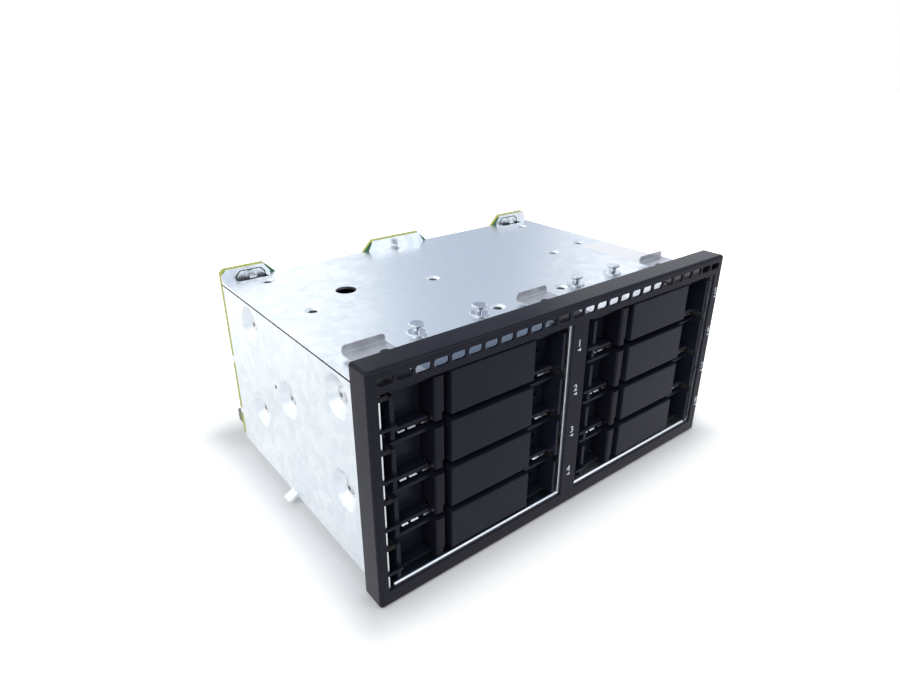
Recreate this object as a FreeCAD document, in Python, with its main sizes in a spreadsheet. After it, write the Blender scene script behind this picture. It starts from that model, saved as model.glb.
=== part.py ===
"""Hot-swap drive cage for eight 2.5-inch drives, with a blank in every bay.

Frame: +X runs along the cage's width, +Y from the bezel to the backplane, +Z up.
The origin is on the ground, midway across the cage and midway along its depth.
Bodies are drawn with Y = 0 on the bezel's front face and then moved back by half the depth.
"""
import FreeCAD, Part
import math
import os
import Sketcher

COLUMNS = (1, 2)
ROWS = (1, 2, 3, 4)

SIZES = (
    # bays and steelwork
    ("bay_width", 75.9, "clear width of one column of bays"),
    ("row_pitch", 17.85, "drive to drive, bottom to top"),
    ("divider_width", 11.6, "steel between the two columns of bays"),
    ("side_flange", 2.65, "width of the side walls' front flanges"),
    ("sheet", 1.0, "gauge of the galvanised sheet"),
    ("cage_depth", 116.5, "front edge of the sheet to the backplane"),
    ("cage_lift", 5.0, "underside of the cage above the ground"),
    ("headroom", 8.85, "top row's centre to the underside of the cover"),
    ("front_hem", 2.3, "height of the tray's front hem"),
    ("hem_relief", 1.7, "gap between the front hem and the side flanges"),
    ("flange_trim", 0.8, "taken off the right front flange"),
    ("rear_flange", 9.0, "width of the flanges that carry the backplane"),
    ("rear_hem", 5.0, "height of the rear flange under the drive connectors"),
    ("cover_seam", 0.65, "gap between the side walls and the cover"),
    ("cover_lip", 3.0, "depth of the cover's turned-down lips"),
    ("lip_gap", 0.8, "play between the lips and the side walls"),
    ("tab_height", 4.6, "rear tabs above the cover"),
    ("tab_width", 20.4, "outer rear tabs"),
    ("middle_tab_width", 31.0, "middle rear tab"),
    ("tab_slope", 2.6, "run of the tabs' sloped ends"),
    ("notch_width", 12.8, "screw notches in the outer tabs"),
    ("notch_reach", 3.6, "notches into the cover"),
    ("ear_width", 11.8, "tray ears that stand in the notches"),
    ("ear_height", 3.0, "tray ears above the cover"),
    ("low_ear_width", 9.0, "tray ears on the rear hem"),
    # side wall dimples and screws
    ("dimple_radius", 7.6, "mouth of a side wall dimple"),
    ("dimple_floor", 4.4, "floor radius of a dimple"),
    ("dimple_depth", 3.0, "depth of a dimple"),
    ("screw_radius", 1.45, "shank of the M3 screws"),
    ("screw_head", 2.7, "head radius of the M3 screws"),
    ("screw_head_height", 1.3, "head height of the M3 screws"),
    ("screw_play", 0.05, "radial play of a shank in its thread"),
    ("screw_length", 5.4, "shank length of the backplane's M3 screws"),
    ("guide_screw_length", 2.35, "shank length of the guides' M3 screws"),
    # top of the cage
    ("thread_radius", 1.65, "core radius of the M4 threads"),
    ("collar_radius", 3.0, "outside of an extruded collar"),
    ("collar_height", 1.2, "extruded collar beyond the sheet"),
    ("sink_radius", 2.9, "countersink round a thread"),
    ("vent_radius", 4.1, "plain hole in the cover"),
    ("stud_head", 2.8, "keyhole stud head radius"),
    ("stud_neck", 1.45, "keyhole stud neck radius"),
    ("stud_base", 3.6, "keyhole stud flange radius"),
    ("stud_height", 3.8, "keyhole stud above the cover"),
    # bezel
    ("bezel_wall", 0.9, "bezel front wall"),
    ("bezel_rim", 1.2, "bezel side wall"),
    ("bezel_depth", 9.3, "bezel front to back"),
    ("bezel_left", 1.7, "bezel beyond the cage, left"),
    ("bezel_right", 4.0, "bezel beyond the cage, right"),
    ("bezel_top", 6.8, "bezel above the cage"),
    ("window_margin", 1.4, "bezel window beyond the bay, outer side"),
    ("window_shift", 0.4, "bezel windows to the right of the cage's middle"),
    ("stile_width", 7.5, "bezel between its windows"),
    ("window_drop", 0.8, "window's top edge under the cage's top"),
    ("slot_pitch", 6.5, "vent slot to vent slot"),
    ("slot_length", 5.6, "vent slot length"),
    ("slot_height", 2.7, "vent slot height"),
    ("slot_rounding", 1.0, "corner radius of a vent slot"),
    ("slot_start", 5.9, "first slot's centre from the bezel's left"),
    ("slot_drop", 3.95, "slot centres under the bezel's top"),
    ("clip_width", 15.4, "spring clip width"),
    ("clip_reach", 24.5, "spring clip's lip behind the bezel face"),
    ("clip_gauge", 0.5, "spring clip steel"),
    ("clip_rise", 1.3, "clip above the cover"),
    ("clip_lip", 3.0, "height of the clip's lip"),
    ("clip_inset", 12.05, "outer clip's centre from the cage's side"),
    ("shelf_left", 9.5, "bezel shelf over a clip, left of its centre"),
    ("shelf_right", 3.2, "bezel shelf over a clip, right of its centre"),
    ("catch_radius", 1.9, "round catches on the rim's rear edge"),
    ("catch_reach", 1.1, "catches behind the rim"),
    ("catch_start", 11.9, "first catch from the bezel's left"),
    ("catch_spacing", 64.8, "catch to catch"),
    # blanks
    ("running_gap", 0.3, "play between a blank and the cage"),
    ("blank_inset", 3.4, "blank's left side from the bay's edge"),
    ("blank_below", 8.2, "row centre to the blank's underside"),
    ("blank_above", 6.3, "row centre to the blank's upper lip"),
    ("blank_wall", 1.4, "moulding wall"),
    ("blank_length", 75.0, "rear of the blank behind the bezel face"),
    ("stop_drop", 3.3, "row centre to the blank's stop"),
    ("blank_lip", 1.1, "thickness of the pocket lips"),
    ("panel_face", 1.2, "front of the centre panel"),
    ("panel_width", 35.7, "centre panel"),
    ("panel_height", 15.2, "centre panel"),
    ("lip_face", 5.0, "front of the pocket lips"),
    ("pocket_back", 9.6, "back wall of the pockets"),
    ("pocket_width", 14.5, "left finger pocket"),
    ("lever_width", 4.0, "release lever's grip bar"),
    ("lever_face", 1.8, "front of the grip bar"),
    ("lever_bar", 2.8, "depth of the grip bar"),
    ("lever_arm", 2.0, "thickness of the lever's arm"),
    ("lever_gap", 2.1, "room for the grip bar to move"),
    ("pivot_depth", 36.0, "lever pivot behind the bezel face"),
    ("pivot_radius", 1.2, "lever pivot pin"),
    ("pivot_play", 0.06, "radial play of the pivot"),
    ("boss_radius", 2.6, "lever's pivot boss"),
    # guides
    ("ledge_thickness", 1.3, "guide ledges"),
    ("left_ledge", 17.0, "left ledges from the guide's face"),
    ("right_ledge", 8.9, "right ledges from the guide's face"),
    ("guide_front", 6.2, "front of the guides"),
    ("guide_back", 106.0, "rear of the guides"),
    ("guide_hook", 1.4, "height of the guides' hooks on the front flanges"),
    ("spring_gauge", 0.3, "shielding spring strip"),
    # backplane
    ("board_thickness", 1.6, "backplane board"),
    ("board_ear", 4.9, "board ears above the cage"),
    ("board_overhang", 0.15, "board edge beyond the cage side"),
    ("window_height", 5.0, "air windows in the board"),
    ("window_width", 56.0, "air windows in the board"),
    ("socket_width", 42.0, "drive connector"),
    ("socket_height", 5.6, "drive connector"),
    ("socket_depth", 8.4, "drive connector in front of the board"),
    ("cable_socket_depth", 12.0, "cable connectors behind the board"),
    ("foot_width", 8.0, "chassis hooks under the tray"),
)

doc = FreeCAD.newDocument("drive_cage")
sheet = doc.addObject("Spreadsheet::Sheet", "Sizes")
for row, (alias, number, meaning) in enumerate(SIZES, start=1):
    sheet.set(f"A{row}", alias)
    sheet.set(f"B{row}", str(number))
    sheet.set(f"C{row}", meaning)
    sheet.setAlias(f"B{row}", alias)
doc.recompute()


class Size:
    """A length kept as an expression of spreadsheet cells, so that whatever uses it follows them."""

    def __init__(self, text):
        self.text = str(text)

    def __add__(self, other):
        return Size(f"({self.text} + {Size.text_of(other)})")

    def __radd__(self, other):
        return Size(f"({Size.text_of(other)} + {self.text})")

    def __sub__(self, other):
        return Size(f"({self.text} - {Size.text_of(other)})")

    def __rsub__(self, other):
        return Size(f"({Size.text_of(other)} - {self.text})")

    def __mul__(self, other):
        return Size(f"({self.text} * {Size.text_of(other)})")

    __rmul__ = __mul__

    def __truediv__(self, other):
        return Size(f"({self.text} / {Size.text_of(other)})")

    def __neg__(self):
        return Size(f"(0 - {self.text})")

    def value(self):
        return float(sheet.evalExpression(self.text))

    @staticmethod
    def text_of(item):
        return item.text if isinstance(item, Size) else repr(float(item))


class Cells:
    """Gives each spreadsheet cell as a Size, by its alias."""

    def __getattr__(self, alias):
        return Size(f"Sizes.{alias}")


size = Cells()
ZERO = Size("0")
PLANES = {"x": "YZ_Plane", "y": "XZ_Plane", "z": "XY_Plane"}


# ---------------------------------------------------------------- modelling helpers
def bind(thing, path, length):
    """Ties a property to a Size."""
    thing.setExpression(path, Size.text_of(length))


def new_body(name):
    """A PartDesign body whose label is its node name."""
    body = doc.addObject("PartDesign::Body", name)
    body.Label = name
    return body


def place(thing, x=ZERO, y=ZERO, z=ZERO):
    """Binds a placement's base, so that it follows the sizes."""
    bind(thing, "Placement.Base.x", x)
    bind(thing, "Placement.Base.y", y)
    bind(thing, "Placement.Base.z", z)


def sketch_at(body, axis, start, name):
    """An empty sketch square to an axis of the body, at a place along that axis."""
    drawing = body.newObject("Sketcher::SketchObject", name)
    plane = next(item for item in body.Origin.OriginFeatures if item.Role == PLANES[axis])
    drawing.AttachmentSupport = [(plane, "")]
    drawing.MapMode = "FlatFace"
    bind(drawing, "AttachmentOffset.Base.z", -start if axis == "y" else start)
    return drawing


def fix_point(drawing, geometry, vertex, across, up):
    """Places one vertex of a sketch by two bound distances from its origin."""
    for kind, length in (("DistanceX", across), ("DistanceY", up)):
        index = drawing.addConstraint(
            Sketcher.Constraint(kind, -1, 1, geometry, vertex, length.value()))
        drawing.setExpression(f"Constraints[{index}]", length.text)


def draw_polygon(drawing, corners):
    """A closed outline through the corners, each one bound."""
    corners = [tuple(Size(Size.text_of(item)) for item in corner) for corner in corners]
    points = [FreeCAD.Vector(across.value(), up.value(), 0) for across, up in corners]
    first = drawing.GeometryCount
    count = len(points)
    for step in range(count):
        drawing.addGeometry(Part.LineSegment(points[step], points[(step + 1) % count]))
    for step in range(count):
        joint = Sketcher.Constraint("Coincident", first + step, 2, first + (step + 1) % count, 1)
        drawing.addConstraint(joint)
    for step, (across, up) in enumerate(corners):
        fix_point(drawing, first + step, 1, across, up)


def draw_circle(drawing, across, up, radius):
    """A circle with its centre and radius bound."""
    across, up, radius = (Size(Size.text_of(item)) for item in (across, up, radius))
    centre = FreeCAD.Vector(across.value(), up.value(), 0)
    normal = FreeCAD.Vector(0, 0, 1)
    index = drawing.addGeometry(Part.Circle(centre, normal, radius.value()))
    fix_point(drawing, index, 3, across, up)
    limit = drawing.addConstraint(Sketcher.Constraint("Radius", index, radius.value()))
    drawing.setExpression(f"Constraints[{limit}]", radius.text)


def rectangle(left, low, right, high):
    """The corners of an upright rectangle."""
    return [(left, low), (right, low), (right, high), (left, high)]


def extrude(body, kind, axis, name, start, end, polygons=(), circles=()):
    """A Pad or Pocket of one sketch, from start to end along an axis."""
    drawing = sketch_at(body, axis, start, f"{name}_sketch")
    for corners in polygons:
        draw_polygon(drawing, corners)
    for circle in circles:
        draw_circle(drawing, *circle)
    feature = body.newObject(f"PartDesign::{kind}", name)
    feature.Profile = drawing
    feature.Reversed = (axis == "y") == (kind == "Pad")
    bind(feature, "Length", end - start)
    return feature


def pad(body, axis, name, start, end, polygons=(), circles=()):
    return extrude(body, "Pad", axis, name, start, end, polygons, circles)


def cut(body, axis, name, start, end, polygons=(), circles=()):
    return extrude(body, "Pocket", axis, name, start, end, polygons, circles)


def revolve(body, name, corners, turn_axis="V_Axis", plane_axis="y", centre=(ZERO, ZERO, ZERO)):
    """A Revolution of a profile about its sketch's own axis, which passes through a centre."""
    x, y, z = centre
    offsets = {"y": (x, z, -y), "z": (x, y, z), "x": (y, z, x)}[plane_axis]
    drawing = sketch_at(body, plane_axis, ZERO, f"{name}_sketch")
    for letter, length in zip("xyz", offsets):
        bind(drawing, f"AttachmentOffset.Base.{letter}", length)
    draw_polygon(drawing, corners)
    feature = body.newObject("PartDesign::Revolution", name)
    feature.Profile = drawing
    feature.ReferenceAxis = (drawing, [turn_axis])
    feature.Angle = 360
    return feature


def repeat(body, name, features, axis, spacing, count):
    """A LinearPattern of features, made the body's tip."""
    pattern = body.newObject("PartDesign::LinearPattern", name)
    pattern.Originals = features
    role = f"{axis.upper()}_Axis"
    direction = next(item for item in body.Origin.OriginFeatures if item.Role == role)
    pattern.Direction = (direction, [""])
    pattern.Mode = "Spacing"
    bind(pattern, "Offset", spacing)
    pattern.Occurrences = count
    body.Tip = pattern
    return pattern


def round_edges(body, name, radius, wanted):
    """A Fillet on the tip's edges that the test picks."""
    doc.recompute()
    tip = body.Tip
    picked = [f"Edge{number}" for number, edge in enumerate(tip.Shape.Edges, start=1) if wanted(edge)]
    if not picked:
        raise ValueError(f"{body.Label}: no edge for {name}")
    feature = body.newObject("PartDesign::Fillet", name)
    feature.Base = (tip, picked)
    bind(feature, "Radius", radius)
    return feature


def straight_along(edge, axis):
    """Tells whether an edge is a straight one along an axis."""
    if edge.Curve.TypeId != "Part::GeomLine":
        return False
    return abs(getattr(edge.Curve.Direction, axis)) > 0.999


def near(first, second):
    return abs(first - second) < 0.01


def copy_of(master, name, x=ZERO, y=ZERO, z=ZERO, turn=None):
    """Another of a master's solids, at its own place."""
    twin = doc.addObject("Part::Compound", name)
    twin.Label = name
    twin.Links = [master]
    if turn:
        axis, angle = turn
        twin.Placement = FreeCAD.Placement(FreeCAD.Vector(), FreeCAD.Rotation(axis, angle))
    place(twin, x, y, z)
    return twin


def group(name, members):
    """A node of identical pieces that stay separate solids."""
    node = doc.addObject("Part::Compound", name)
    node.Label = name
    node.Links = members
    return node


# ---------------------------------------------------------------- sizes worked out from the sheet
cage_width = size.bay_width * 2 + size.divider_width + size.side_flange * 2
cage_half = cage_width / 2
column_pitch = size.bay_width + size.divider_width
front = size.bezel_wall
back = front + size.cage_depth
floor_top = size.cage_lift + size.sheet
first_row = floor_top + size.ledge_thickness + size.running_gap + size.blank_below
top_row = first_row + size.row_pitch * (len(ROWS) - 1)
cover_under = top_row + size.headroom
cage_top = cover_under + size.sheet
wall_top = cover_under - size.cover_seam
half_depth = (back + size.board_thickness + size.cable_socket_depth) / 2
bezel_west = -(cage_half + size.bezel_left)
bezel_east = cage_half + size.bezel_right
bezel_high = cage_top + size.bezel_top
screw_hole = size.screw_radius + size.screw_play
ear_centre = cage_half - 12.0
tab_screw_height = cage_top + 0.6
middle_screw_height = cage_top + 2.1
low_screw_height = size.cage_lift + 5.2
dimple_spots = [
    (front + 21.1, top_row - 0.6),
    (front + 21.1, first_row + size.row_pitch),
    (front + 60.8, first_row + size.row_pitch * 2 - 2.1),
    (front + 90.1, top_row - 0.6),
    (front + 90.1, first_row + size.row_pitch - 1.8),
]
nodes = []


def bay_left(column):
    """The left edge of a column of bays."""
    return -(column_pitch / 2 + size.bay_width / 2) + column_pitch * (column - 1)


def row_height(row):
    """The centre height of a row, counted from the top."""
    return top_row - size.row_pitch * (row - 1)


def keep(node, y=-half_depth):
    """Sets a whole-cage body in the row's frame and lists it as a sub-part."""
    place(node, ZERO, y, ZERO)
    nodes.append(node)


# ---------------------------------------------------------------- steelwork
def collar_profile(inner, outer, start, end):
    return [(inner, start), (outer, start), (outer, end), (inner, end)]


def make_tray():
    """The bottom and both side walls, folded from one sheet, with dimples for the guide screws."""
    body = new_body("cage_tray")
    low = size.cage_lift
    inside = cage_half - size.sheet
    walls = [(-cage_half, low), (cage_half, low), (cage_half, wall_top), (inside, wall_top),
             (inside, floor_top), (-inside, floor_top), (-inside, wall_top), (-cage_half, wall_top)]
    pad(body, "y", "walls", front, back, [walls])

    def flange(name, width, height, start):
        reach = cage_half - width
        edge = [(-cage_half, low), (cage_half, low), (cage_half, wall_top), (reach, wall_top),
                (reach, low + height), (-reach, low + height), (-reach, wall_top), (-cage_half, wall_top)]
        pad(body, "y", name, start, start + size.sheet, [edge])

    flange("front_flange", size.side_flange, size.front_hem, front)
    flange("rear_flange", size.rear_flange, size.rear_hem, back - size.sheet)
    hem_top = low + size.front_hem
    hem_high = hem_top + 0.1
    flange_end = cage_half - size.side_flange
    reliefs = [rectangle(-flange_end, floor_top, -flange_end + size.hem_relief, hem_high),
               rectangle(flange_end - size.hem_relief, floor_top, flange_end, hem_high)]
    cut(body, "y", "hem_reliefs", front - 0.1, front + size.sheet, reliefs)
    trim = rectangle(flange_end - 0.1, hem_high, flange_end + size.flange_trim, cage_top)
    cut(body, "y", "flange_trim", front - 0.1, front + size.sheet, [trim])

    def hem_edge(edge):
        box = edge.BoundBox
        at_top = near(box.YMin, front.value()) and near(box.ZMin, hem_top.value())
        return straight_along(edge, "x") and at_top

    round_edges(body, "hem_rounding", size.sheet * 0.8, hem_edge)

    ears = []
    half = size.ear_width / 2
    low_half = size.low_ear_width / 2
    ear_top = cage_top + size.ear_height
    for side in (-1, 1):
        middle = ear_centre * side
        root = wall_top - size.rear_flange
        ears.append([(middle - half, root), (middle + half, root), (middle + half, ear_top - 1.8),
                     (middle + half - 1.9, ear_top), (middle - half + 1.9, ear_top),
                     (middle - half, ear_top - 1.8)])
    for middle, height in flange_screws()[2:]:
        ears.append(rectangle(middle - low_half, floor_top, middle + low_half, height + 4.0))
    pad(body, "y", "ears", back - size.sheet, back, ears)

    tabs = []
    for side in (-1, 1):
        near_edge, far_edge = sorted_pair(cage_half * side, (cage_half - size.sheet) * side, side)
        for height in board_notches():
            tabs.append(rectangle(near_edge, height + 0.3, far_edge, height + 3.1))
    pad(body, "y", "board_tabs", back - size.sheet, back + size.board_thickness + 0.6, tabs)

    mouths = [(y, z, size.dimple_radius) for y, z in dimple_spots]
    cut(body, "x", "dimple_mouths", -cage_half, -inside, circles=mouths)
    floor = size.dimple_depth
    skin = [(ZERO, size.dimple_radius), (floor, size.dimple_floor), (floor, size.screw_radius + 0.15),
            (floor + size.sheet, size.screw_radius + 0.15), (floor + size.sheet, size.dimple_floor + 0.4),
            (size.sheet, size.dimple_radius + 0.4)]
    for number, (y, z) in enumerate(dimple_spots, start=1):
        revolve(body, f"dimple_{number}", skin, "H_Axis", "z", (-cage_half, y, z))

    pin_holes = [(y, z, size.screw_radius + 0.15) for y, z in dimple_spots]
    cut(body, "x", "right_holes", inside, cage_half, circles=pin_holes)
    cut(body, "x", "gauge_hole", -cage_half, -inside, circles=[(front + 71.1, top_row - 19.1, 0.8)])

    collars = [(x, z, size.screw_radius + size.sheet) for x, z in flange_screws()]
    pad(body, "y", "collars", back - size.sheet - size.collar_height, back - size.sheet, circles=collars)
    holes = [(x, z, screw_hole) for x, z in flange_screws()]
    cut(body, "y", "threads", back - size.sheet - size.collar_height - 0.1, back + 0.1, circles=holes)

    make_hooks(body)
    keep(body)


def sorted_pair(outer, inner, side):
    """Gives a wall's two faces from low X to high X."""
    return (outer, inner) if side < 0 else (inner, outer)


def board_notches():
    """The low edges of the notches that take the side walls' tabs."""
    return [first_row + 0.7, first_row + size.row_pitch * 1.5 - 0.3]


def flange_screws():
    """The screws into the tray: the two ears and the bottom flange."""
    spots = [(ear_centre * side, tab_screw_height) for side in (-1, 1)]
    spots += [((ear_centre - 1.8) * side, low_screw_height) for side in (-1, 0, 1)]
    return spots


def board_screws():
    """All the backplane's screws: those into the tray, and one into the cover's middle tab."""
    return flange_screws() + [(ZERO, middle_screw_height)]


def make_hooks(body):
    """The hooks under the tray that drop into a chassis, and the snap tongues at its lower edges."""
    low = size.cage_lift
    for number, (x, y) in enumerate([(side * 0.78, depth) for side in (-1, 1) for depth in (20.0, 98.0)]):
        start = cage_half * x - size.foot_width / 2
        profile = [(y, low + size.sheet), (y, ZERO), (y + 6.0, ZERO), (y + 6.0, size.sheet),
                   (y + size.sheet, size.sheet), (y + size.sheet, low + size.sheet)]
        pad(body, "x", f"hook_{number + 1}", start, start + size.foot_width, [profile])
    for name, side in (("left_tongue", -1), ("right_tongue", 1)):
        root = cage_half * side
        tip = (cage_half + 4.0) * side
        drop = low - 1.9
        profile = [(root, low + size.sheet), (root - side * size.sheet, low), (tip - side * 0.7, drop),
                   (tip, drop + 0.7)]
        pad(body, "y", name, front + 63.0, front + 67.5, [profile])


def make_cover():
    """The cover plate with its lips, rear tabs, threads and stud holes."""
    body = new_body("top_cover")
    plate = rectangle(-cage_half, front, cage_half, back)
    pad(body, "z", "plate", cover_under, cage_top, [plate])

    outer = cage_half - size.sheet - size.lip_gap
    inner = outer - size.sheet
    ends = (front + 33.0, front + 79.0)
    lips = [rectangle(-outer, ends[0], -inner, ends[1]), rectangle(inner, ends[0], outer, ends[1])]
    pad(body, "z", "lips", cover_under - size.cover_lip, cover_under, lips)

    high = cage_top + size.tab_height
    tab_end = cage_half - size.tab_width
    middle = size.middle_tab_width / 2
    slope = size.tab_slope
    outlines = [
        [(-cage_half, cover_under), (-tab_end, cover_under), (-tab_end, cage_top + 1.0),
         (-tab_end - slope, high), (-cage_half + 2.0, high), (-cage_half, high - 2.0)],
        [(-middle, cover_under), (middle, cover_under), (middle, cage_top), (middle - slope, high),
         (-middle + slope, high), (-middle, cage_top)],
        [(tab_end, cover_under), (cage_half, cover_under), (cage_half, high - 2.0), (cage_half - 2.0, high),
         (tab_end + slope, high), (tab_end, cage_top + 1.0)],
    ]
    pad(body, "y", "tabs", back - size.sheet, back, outlines)

    half_notch = size.notch_width / 2
    floors = []
    windows = []
    for side in (-1, 1):
        centre = ear_centre * side
        floors.append(rectangle(centre - half_notch, back - size.sheet - size.notch_reach,
                                centre + half_notch, back + 0.1))
        windows.append([(centre - half_notch, cover_under - 0.1), (centre + half_notch, cover_under - 0.1),
                        (centre + half_notch, cage_top + 1.5), (centre + half_notch - 2.0, cage_top + 3.4),
                        (centre - half_notch + 2.0, cage_top + 3.4), (centre - half_notch, cage_top + 1.5)])
    cut(body, "z", "notch_floors", cover_under - 0.1, cage_top + 0.1, floors)
    cut(body, "y", "notch_windows", back - size.sheet - 0.1, back + 0.1, windows)

    under = cover_under - size.collar_height
    collars = [(x, y, size.collar_radius) for x, y in cover_threads()]
    pad(body, "z", "collars", under, cover_under, circles=collars)
    cut(body, "y", "tab_thread", back - size.sheet - 0.1, back + 0.1,
        circles=[(ZERO, middle_screw_height, screw_hole)])

    drilled = [(x, y, size.stud_neck + size.screw_play) for x, y in stud_spots()]
    drilled.append((-cage_half + 35.0, front + 76.5, size.vent_radius))
    cut(body, "z", "plain_holes", cover_under - 0.1, cage_top + 0.1, circles=drilled)
    make_threads(body)
    keep(body)


def make_threads(body):
    """Countersunk M4 threads in the cover, made with the Hole feature."""
    doc.recompute()
    drawing = sketch_at(body, "z", cage_top, "threads_sketch")
    for x, y in cover_threads():
        draw_circle(drawing, x, y, size.thread_radius)
    doc.recompute()
    hole = body.newObject("PartDesign::Hole", "threads")
    hole.Profile = drawing
    hole.DepthType = "ThroughAll"
    bind(hole, "Diameter", size.thread_radius * 2)
    hole.HoleCutType = "Countersink"
    bind(hole, "HoleCutDiameter", size.sink_radius * 2)
    hole.HoleCutCountersinkAngle = 120


def cover_threads():
    """The cover's M4 threads: four at the corners of a rectangle, and the loose ones between."""
    columns = (-cage_half + 15.2, cage_half - 11.6)
    spots = [(across, front + depth) for across in columns for depth in (65.4, 105.9)]
    spots += [(-14.4, front + 26.6), (19.2, front + 26.9), (-14.2, front + 66.9)]
    spots.append((bay_left(2) + 45.6, front + 62.0))
    return [tuple(Size(Size.text_of(item)) for item in spot) for spot in spots]


def stud_spots():
    """The keyhole studs, a pair over each column."""
    spots = []
    for column, offsets in zip(COLUMNS, ((30.3, 57.3), (20.2, 42.8))):
        spots += [(bay_left(column) + offset, front + 25.3) for offset in offsets]
    return spots


def make_studs():
    """The shouldered studs that drop into the keyholes of a chassis."""
    master = new_body("stud_master")
    base = size.stud_height * 0.19
    head = size.stud_height * 0.76
    neck = size.stud_neck
    rim = size.stud_head
    profile = [(ZERO, -size.sheet), (neck, -size.sheet), (neck, ZERO), (size.stud_base, ZERO),
               (size.stud_base, base * 0.6), (size.stud_base - 0.5, base), (neck, base), (neck, head),
               (rim - 0.3, head), (rim, head + 0.3), (rim, size.stud_height - 0.4),
               (rim - 0.5, size.stud_height), (ZERO, size.stud_height)]
    revolve(master, "stud", profile)
    studs = []
    for number, (x, y) in enumerate(stud_spots(), start=1):
        studs.append(copy_of(master, f"stud_{number}", x, y, cage_top))
    keep(group("top_studs", studs))


def make_divider():
    """The folded channel between the columns, with its closed side to the front."""
    body = new_body("centre_divider")
    left_end = -(size.divider_width / 2) + 1.05
    left_face = -(size.divider_width / 2 - guide_thickness_right)
    right_face = divider_right
    plan = [(left_end, front), (right_face, front), (right_face, back - size.sheet),
            (right_face - size.sheet, back - size.sheet), (right_face - size.sheet, front + size.sheet),
            (left_face + size.sheet, front + size.sheet), (left_face + size.sheet, back - size.sheet),
            (left_face, back - size.sheet), (left_face, front + size.sheet), (left_end, front + size.sheet)]
    pad(body, "z", "channel", floor_top, cover_under, [plan])
    relief = rectangle(-cage_half, front - 0.1, cage_half, front + size.sheet)
    cut(body, "z", "hem_relief", floor_top - 0.1, size.cage_lift + size.front_hem, [relief])
    keep(body)


# ---------------------------------------------------------------- guides
guide_seat_left = size.dimple_depth + size.sheet - size.side_flange
guide_face_left = size.blank_inset - size.running_gap
guide_thickness_right = size.side_flange - size.sheet
divider_right = size.stile_width / 2 + size.window_shift - 0.3
window_edge = size.window_shift - size.window_margin
ledge_top = -(size.blank_below + size.running_gap)


def make_guide(name, column, is_left, screwed):
    """A moulded guide panel with a ledge under every row, and hooks round the sheet at its front."""
    body = new_body(name)
    edge = bay_left(column)
    if is_left:
        plate = (edge + guide_seat_left, edge + guide_face_left)
        ledge = (plate[0], plate[1] + size.left_ledge)
    else:
        plate = (edge + size.bay_width, edge + size.bay_width + guide_thickness_right)
        ledge = (plate[0] - size.right_ledge, plate[1])
    high = cover_under - size.cover_lip - size.running_gap
    hooked = is_left and screwed
    peak = cover_under - size.running_gap if hooked else high
    outline = [(size.guide_front, floor_top), (size.guide_back, floor_top), (size.guide_back, high - 8.0),
               (size.guide_back - 8.0, high), (front + 30.0, high), (front + 27.0, peak),
               (size.guide_front, peak)]
    pad(body, "x", "panel", plate[0], plate[1], [outline])
    if is_left and not screwed:
        pads = [(y, z, size.dimple_floor) for y, z in dimple_spots]
        pad(body, "x", "pads", divider_right, plate[0] + 0.1, circles=pads)
    low = first_row + ledge_top - size.ledge_thickness
    repeated = [pad(body, "z", "ledge", low, low + size.ledge_thickness,
                    [rectangle(ledge[0], size.guide_front, ledge[1], size.guide_back)])]
    if hooked:
        repeated += make_flange_hook(body, edge, plate)
    repeat(body, "ledges", repeated, "z", size.row_pitch, len(ROWS))
    if screwed:
        holes = [(y, z, screw_hole) for y, z in dimple_spots]
        cut(body, "x", "screw_holes", plate[0] - 0.1, plate[1] + 0.1, circles=holes)
    keep(body)


def make_flange_hook(body, edge, plate):
    """A hook that reaches forward from the panel and round the edge of the front flange."""
    low = first_row + size.blank_above + 0.2
    high = low + size.guide_hook
    arm = rectangle(plate[0], front - 0.7, plate[0] + 0.9, size.guide_front + 0.1)
    tooth = rectangle(edge + window_edge + 0.3, front - 0.7, plate[0] + 0.1, front)
    return [pad(body, "z", "hook_arm", low, high, [arm]), pad(body, "z", "hook_tooth", low, high, [tooth])]


def make_shield_springs(name, edge, fingers):
    """Spring strips round the fronts of the upper ledges, slit into fingers."""
    body = new_body(name)
    gauge = size.spring_gauge
    face = size.guide_front
    low = row_height(len(ROWS) - 1) + ledge_top - size.ledge_thickness
    profile = [(face - gauge, low + 0.6), (face - gauge - 0.5, low + 0.2), (face - gauge, low - gauge),
               (face + 6.0, low - gauge), (face + 6.0, low), (face, low), (face, low + 0.6)]
    strips = []
    for number, (start, end) in enumerate(fingers, start=1):
        strips.append(pad(body, "x", f"finger_{number}", edge + start, edge + end, [profile]))
    web = rectangle(edge + fingers[0][0], face + 4.0, edge + fingers[-1][1], face + 6.0)
    strips.append(pad(body, "z", "web", low - gauge, low, [web]))
    repeat(body, "strips", strips, "z", size.row_pitch, len(ROWS) - 1)
    keep(body)


# ---------------------------------------------------------------- screws
def screw_master(name, length):
    """A pan head M3 screw, with its head's underside at the origin and its shank along -Z."""
    body = new_body(name)
    shank = size.screw_radius
    head = size.screw_head
    top = size.screw_head_height
    profile = [(ZERO, -length), (shank, -length), (shank, ZERO), (head, ZERO), (head, top * 0.55),
               (head * 0.72, top), (head * 0.3, top), (head * 0.3, top * 0.35), (ZERO, top * 0.35)]
    revolve(body, "screw", profile)
    return body


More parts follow.
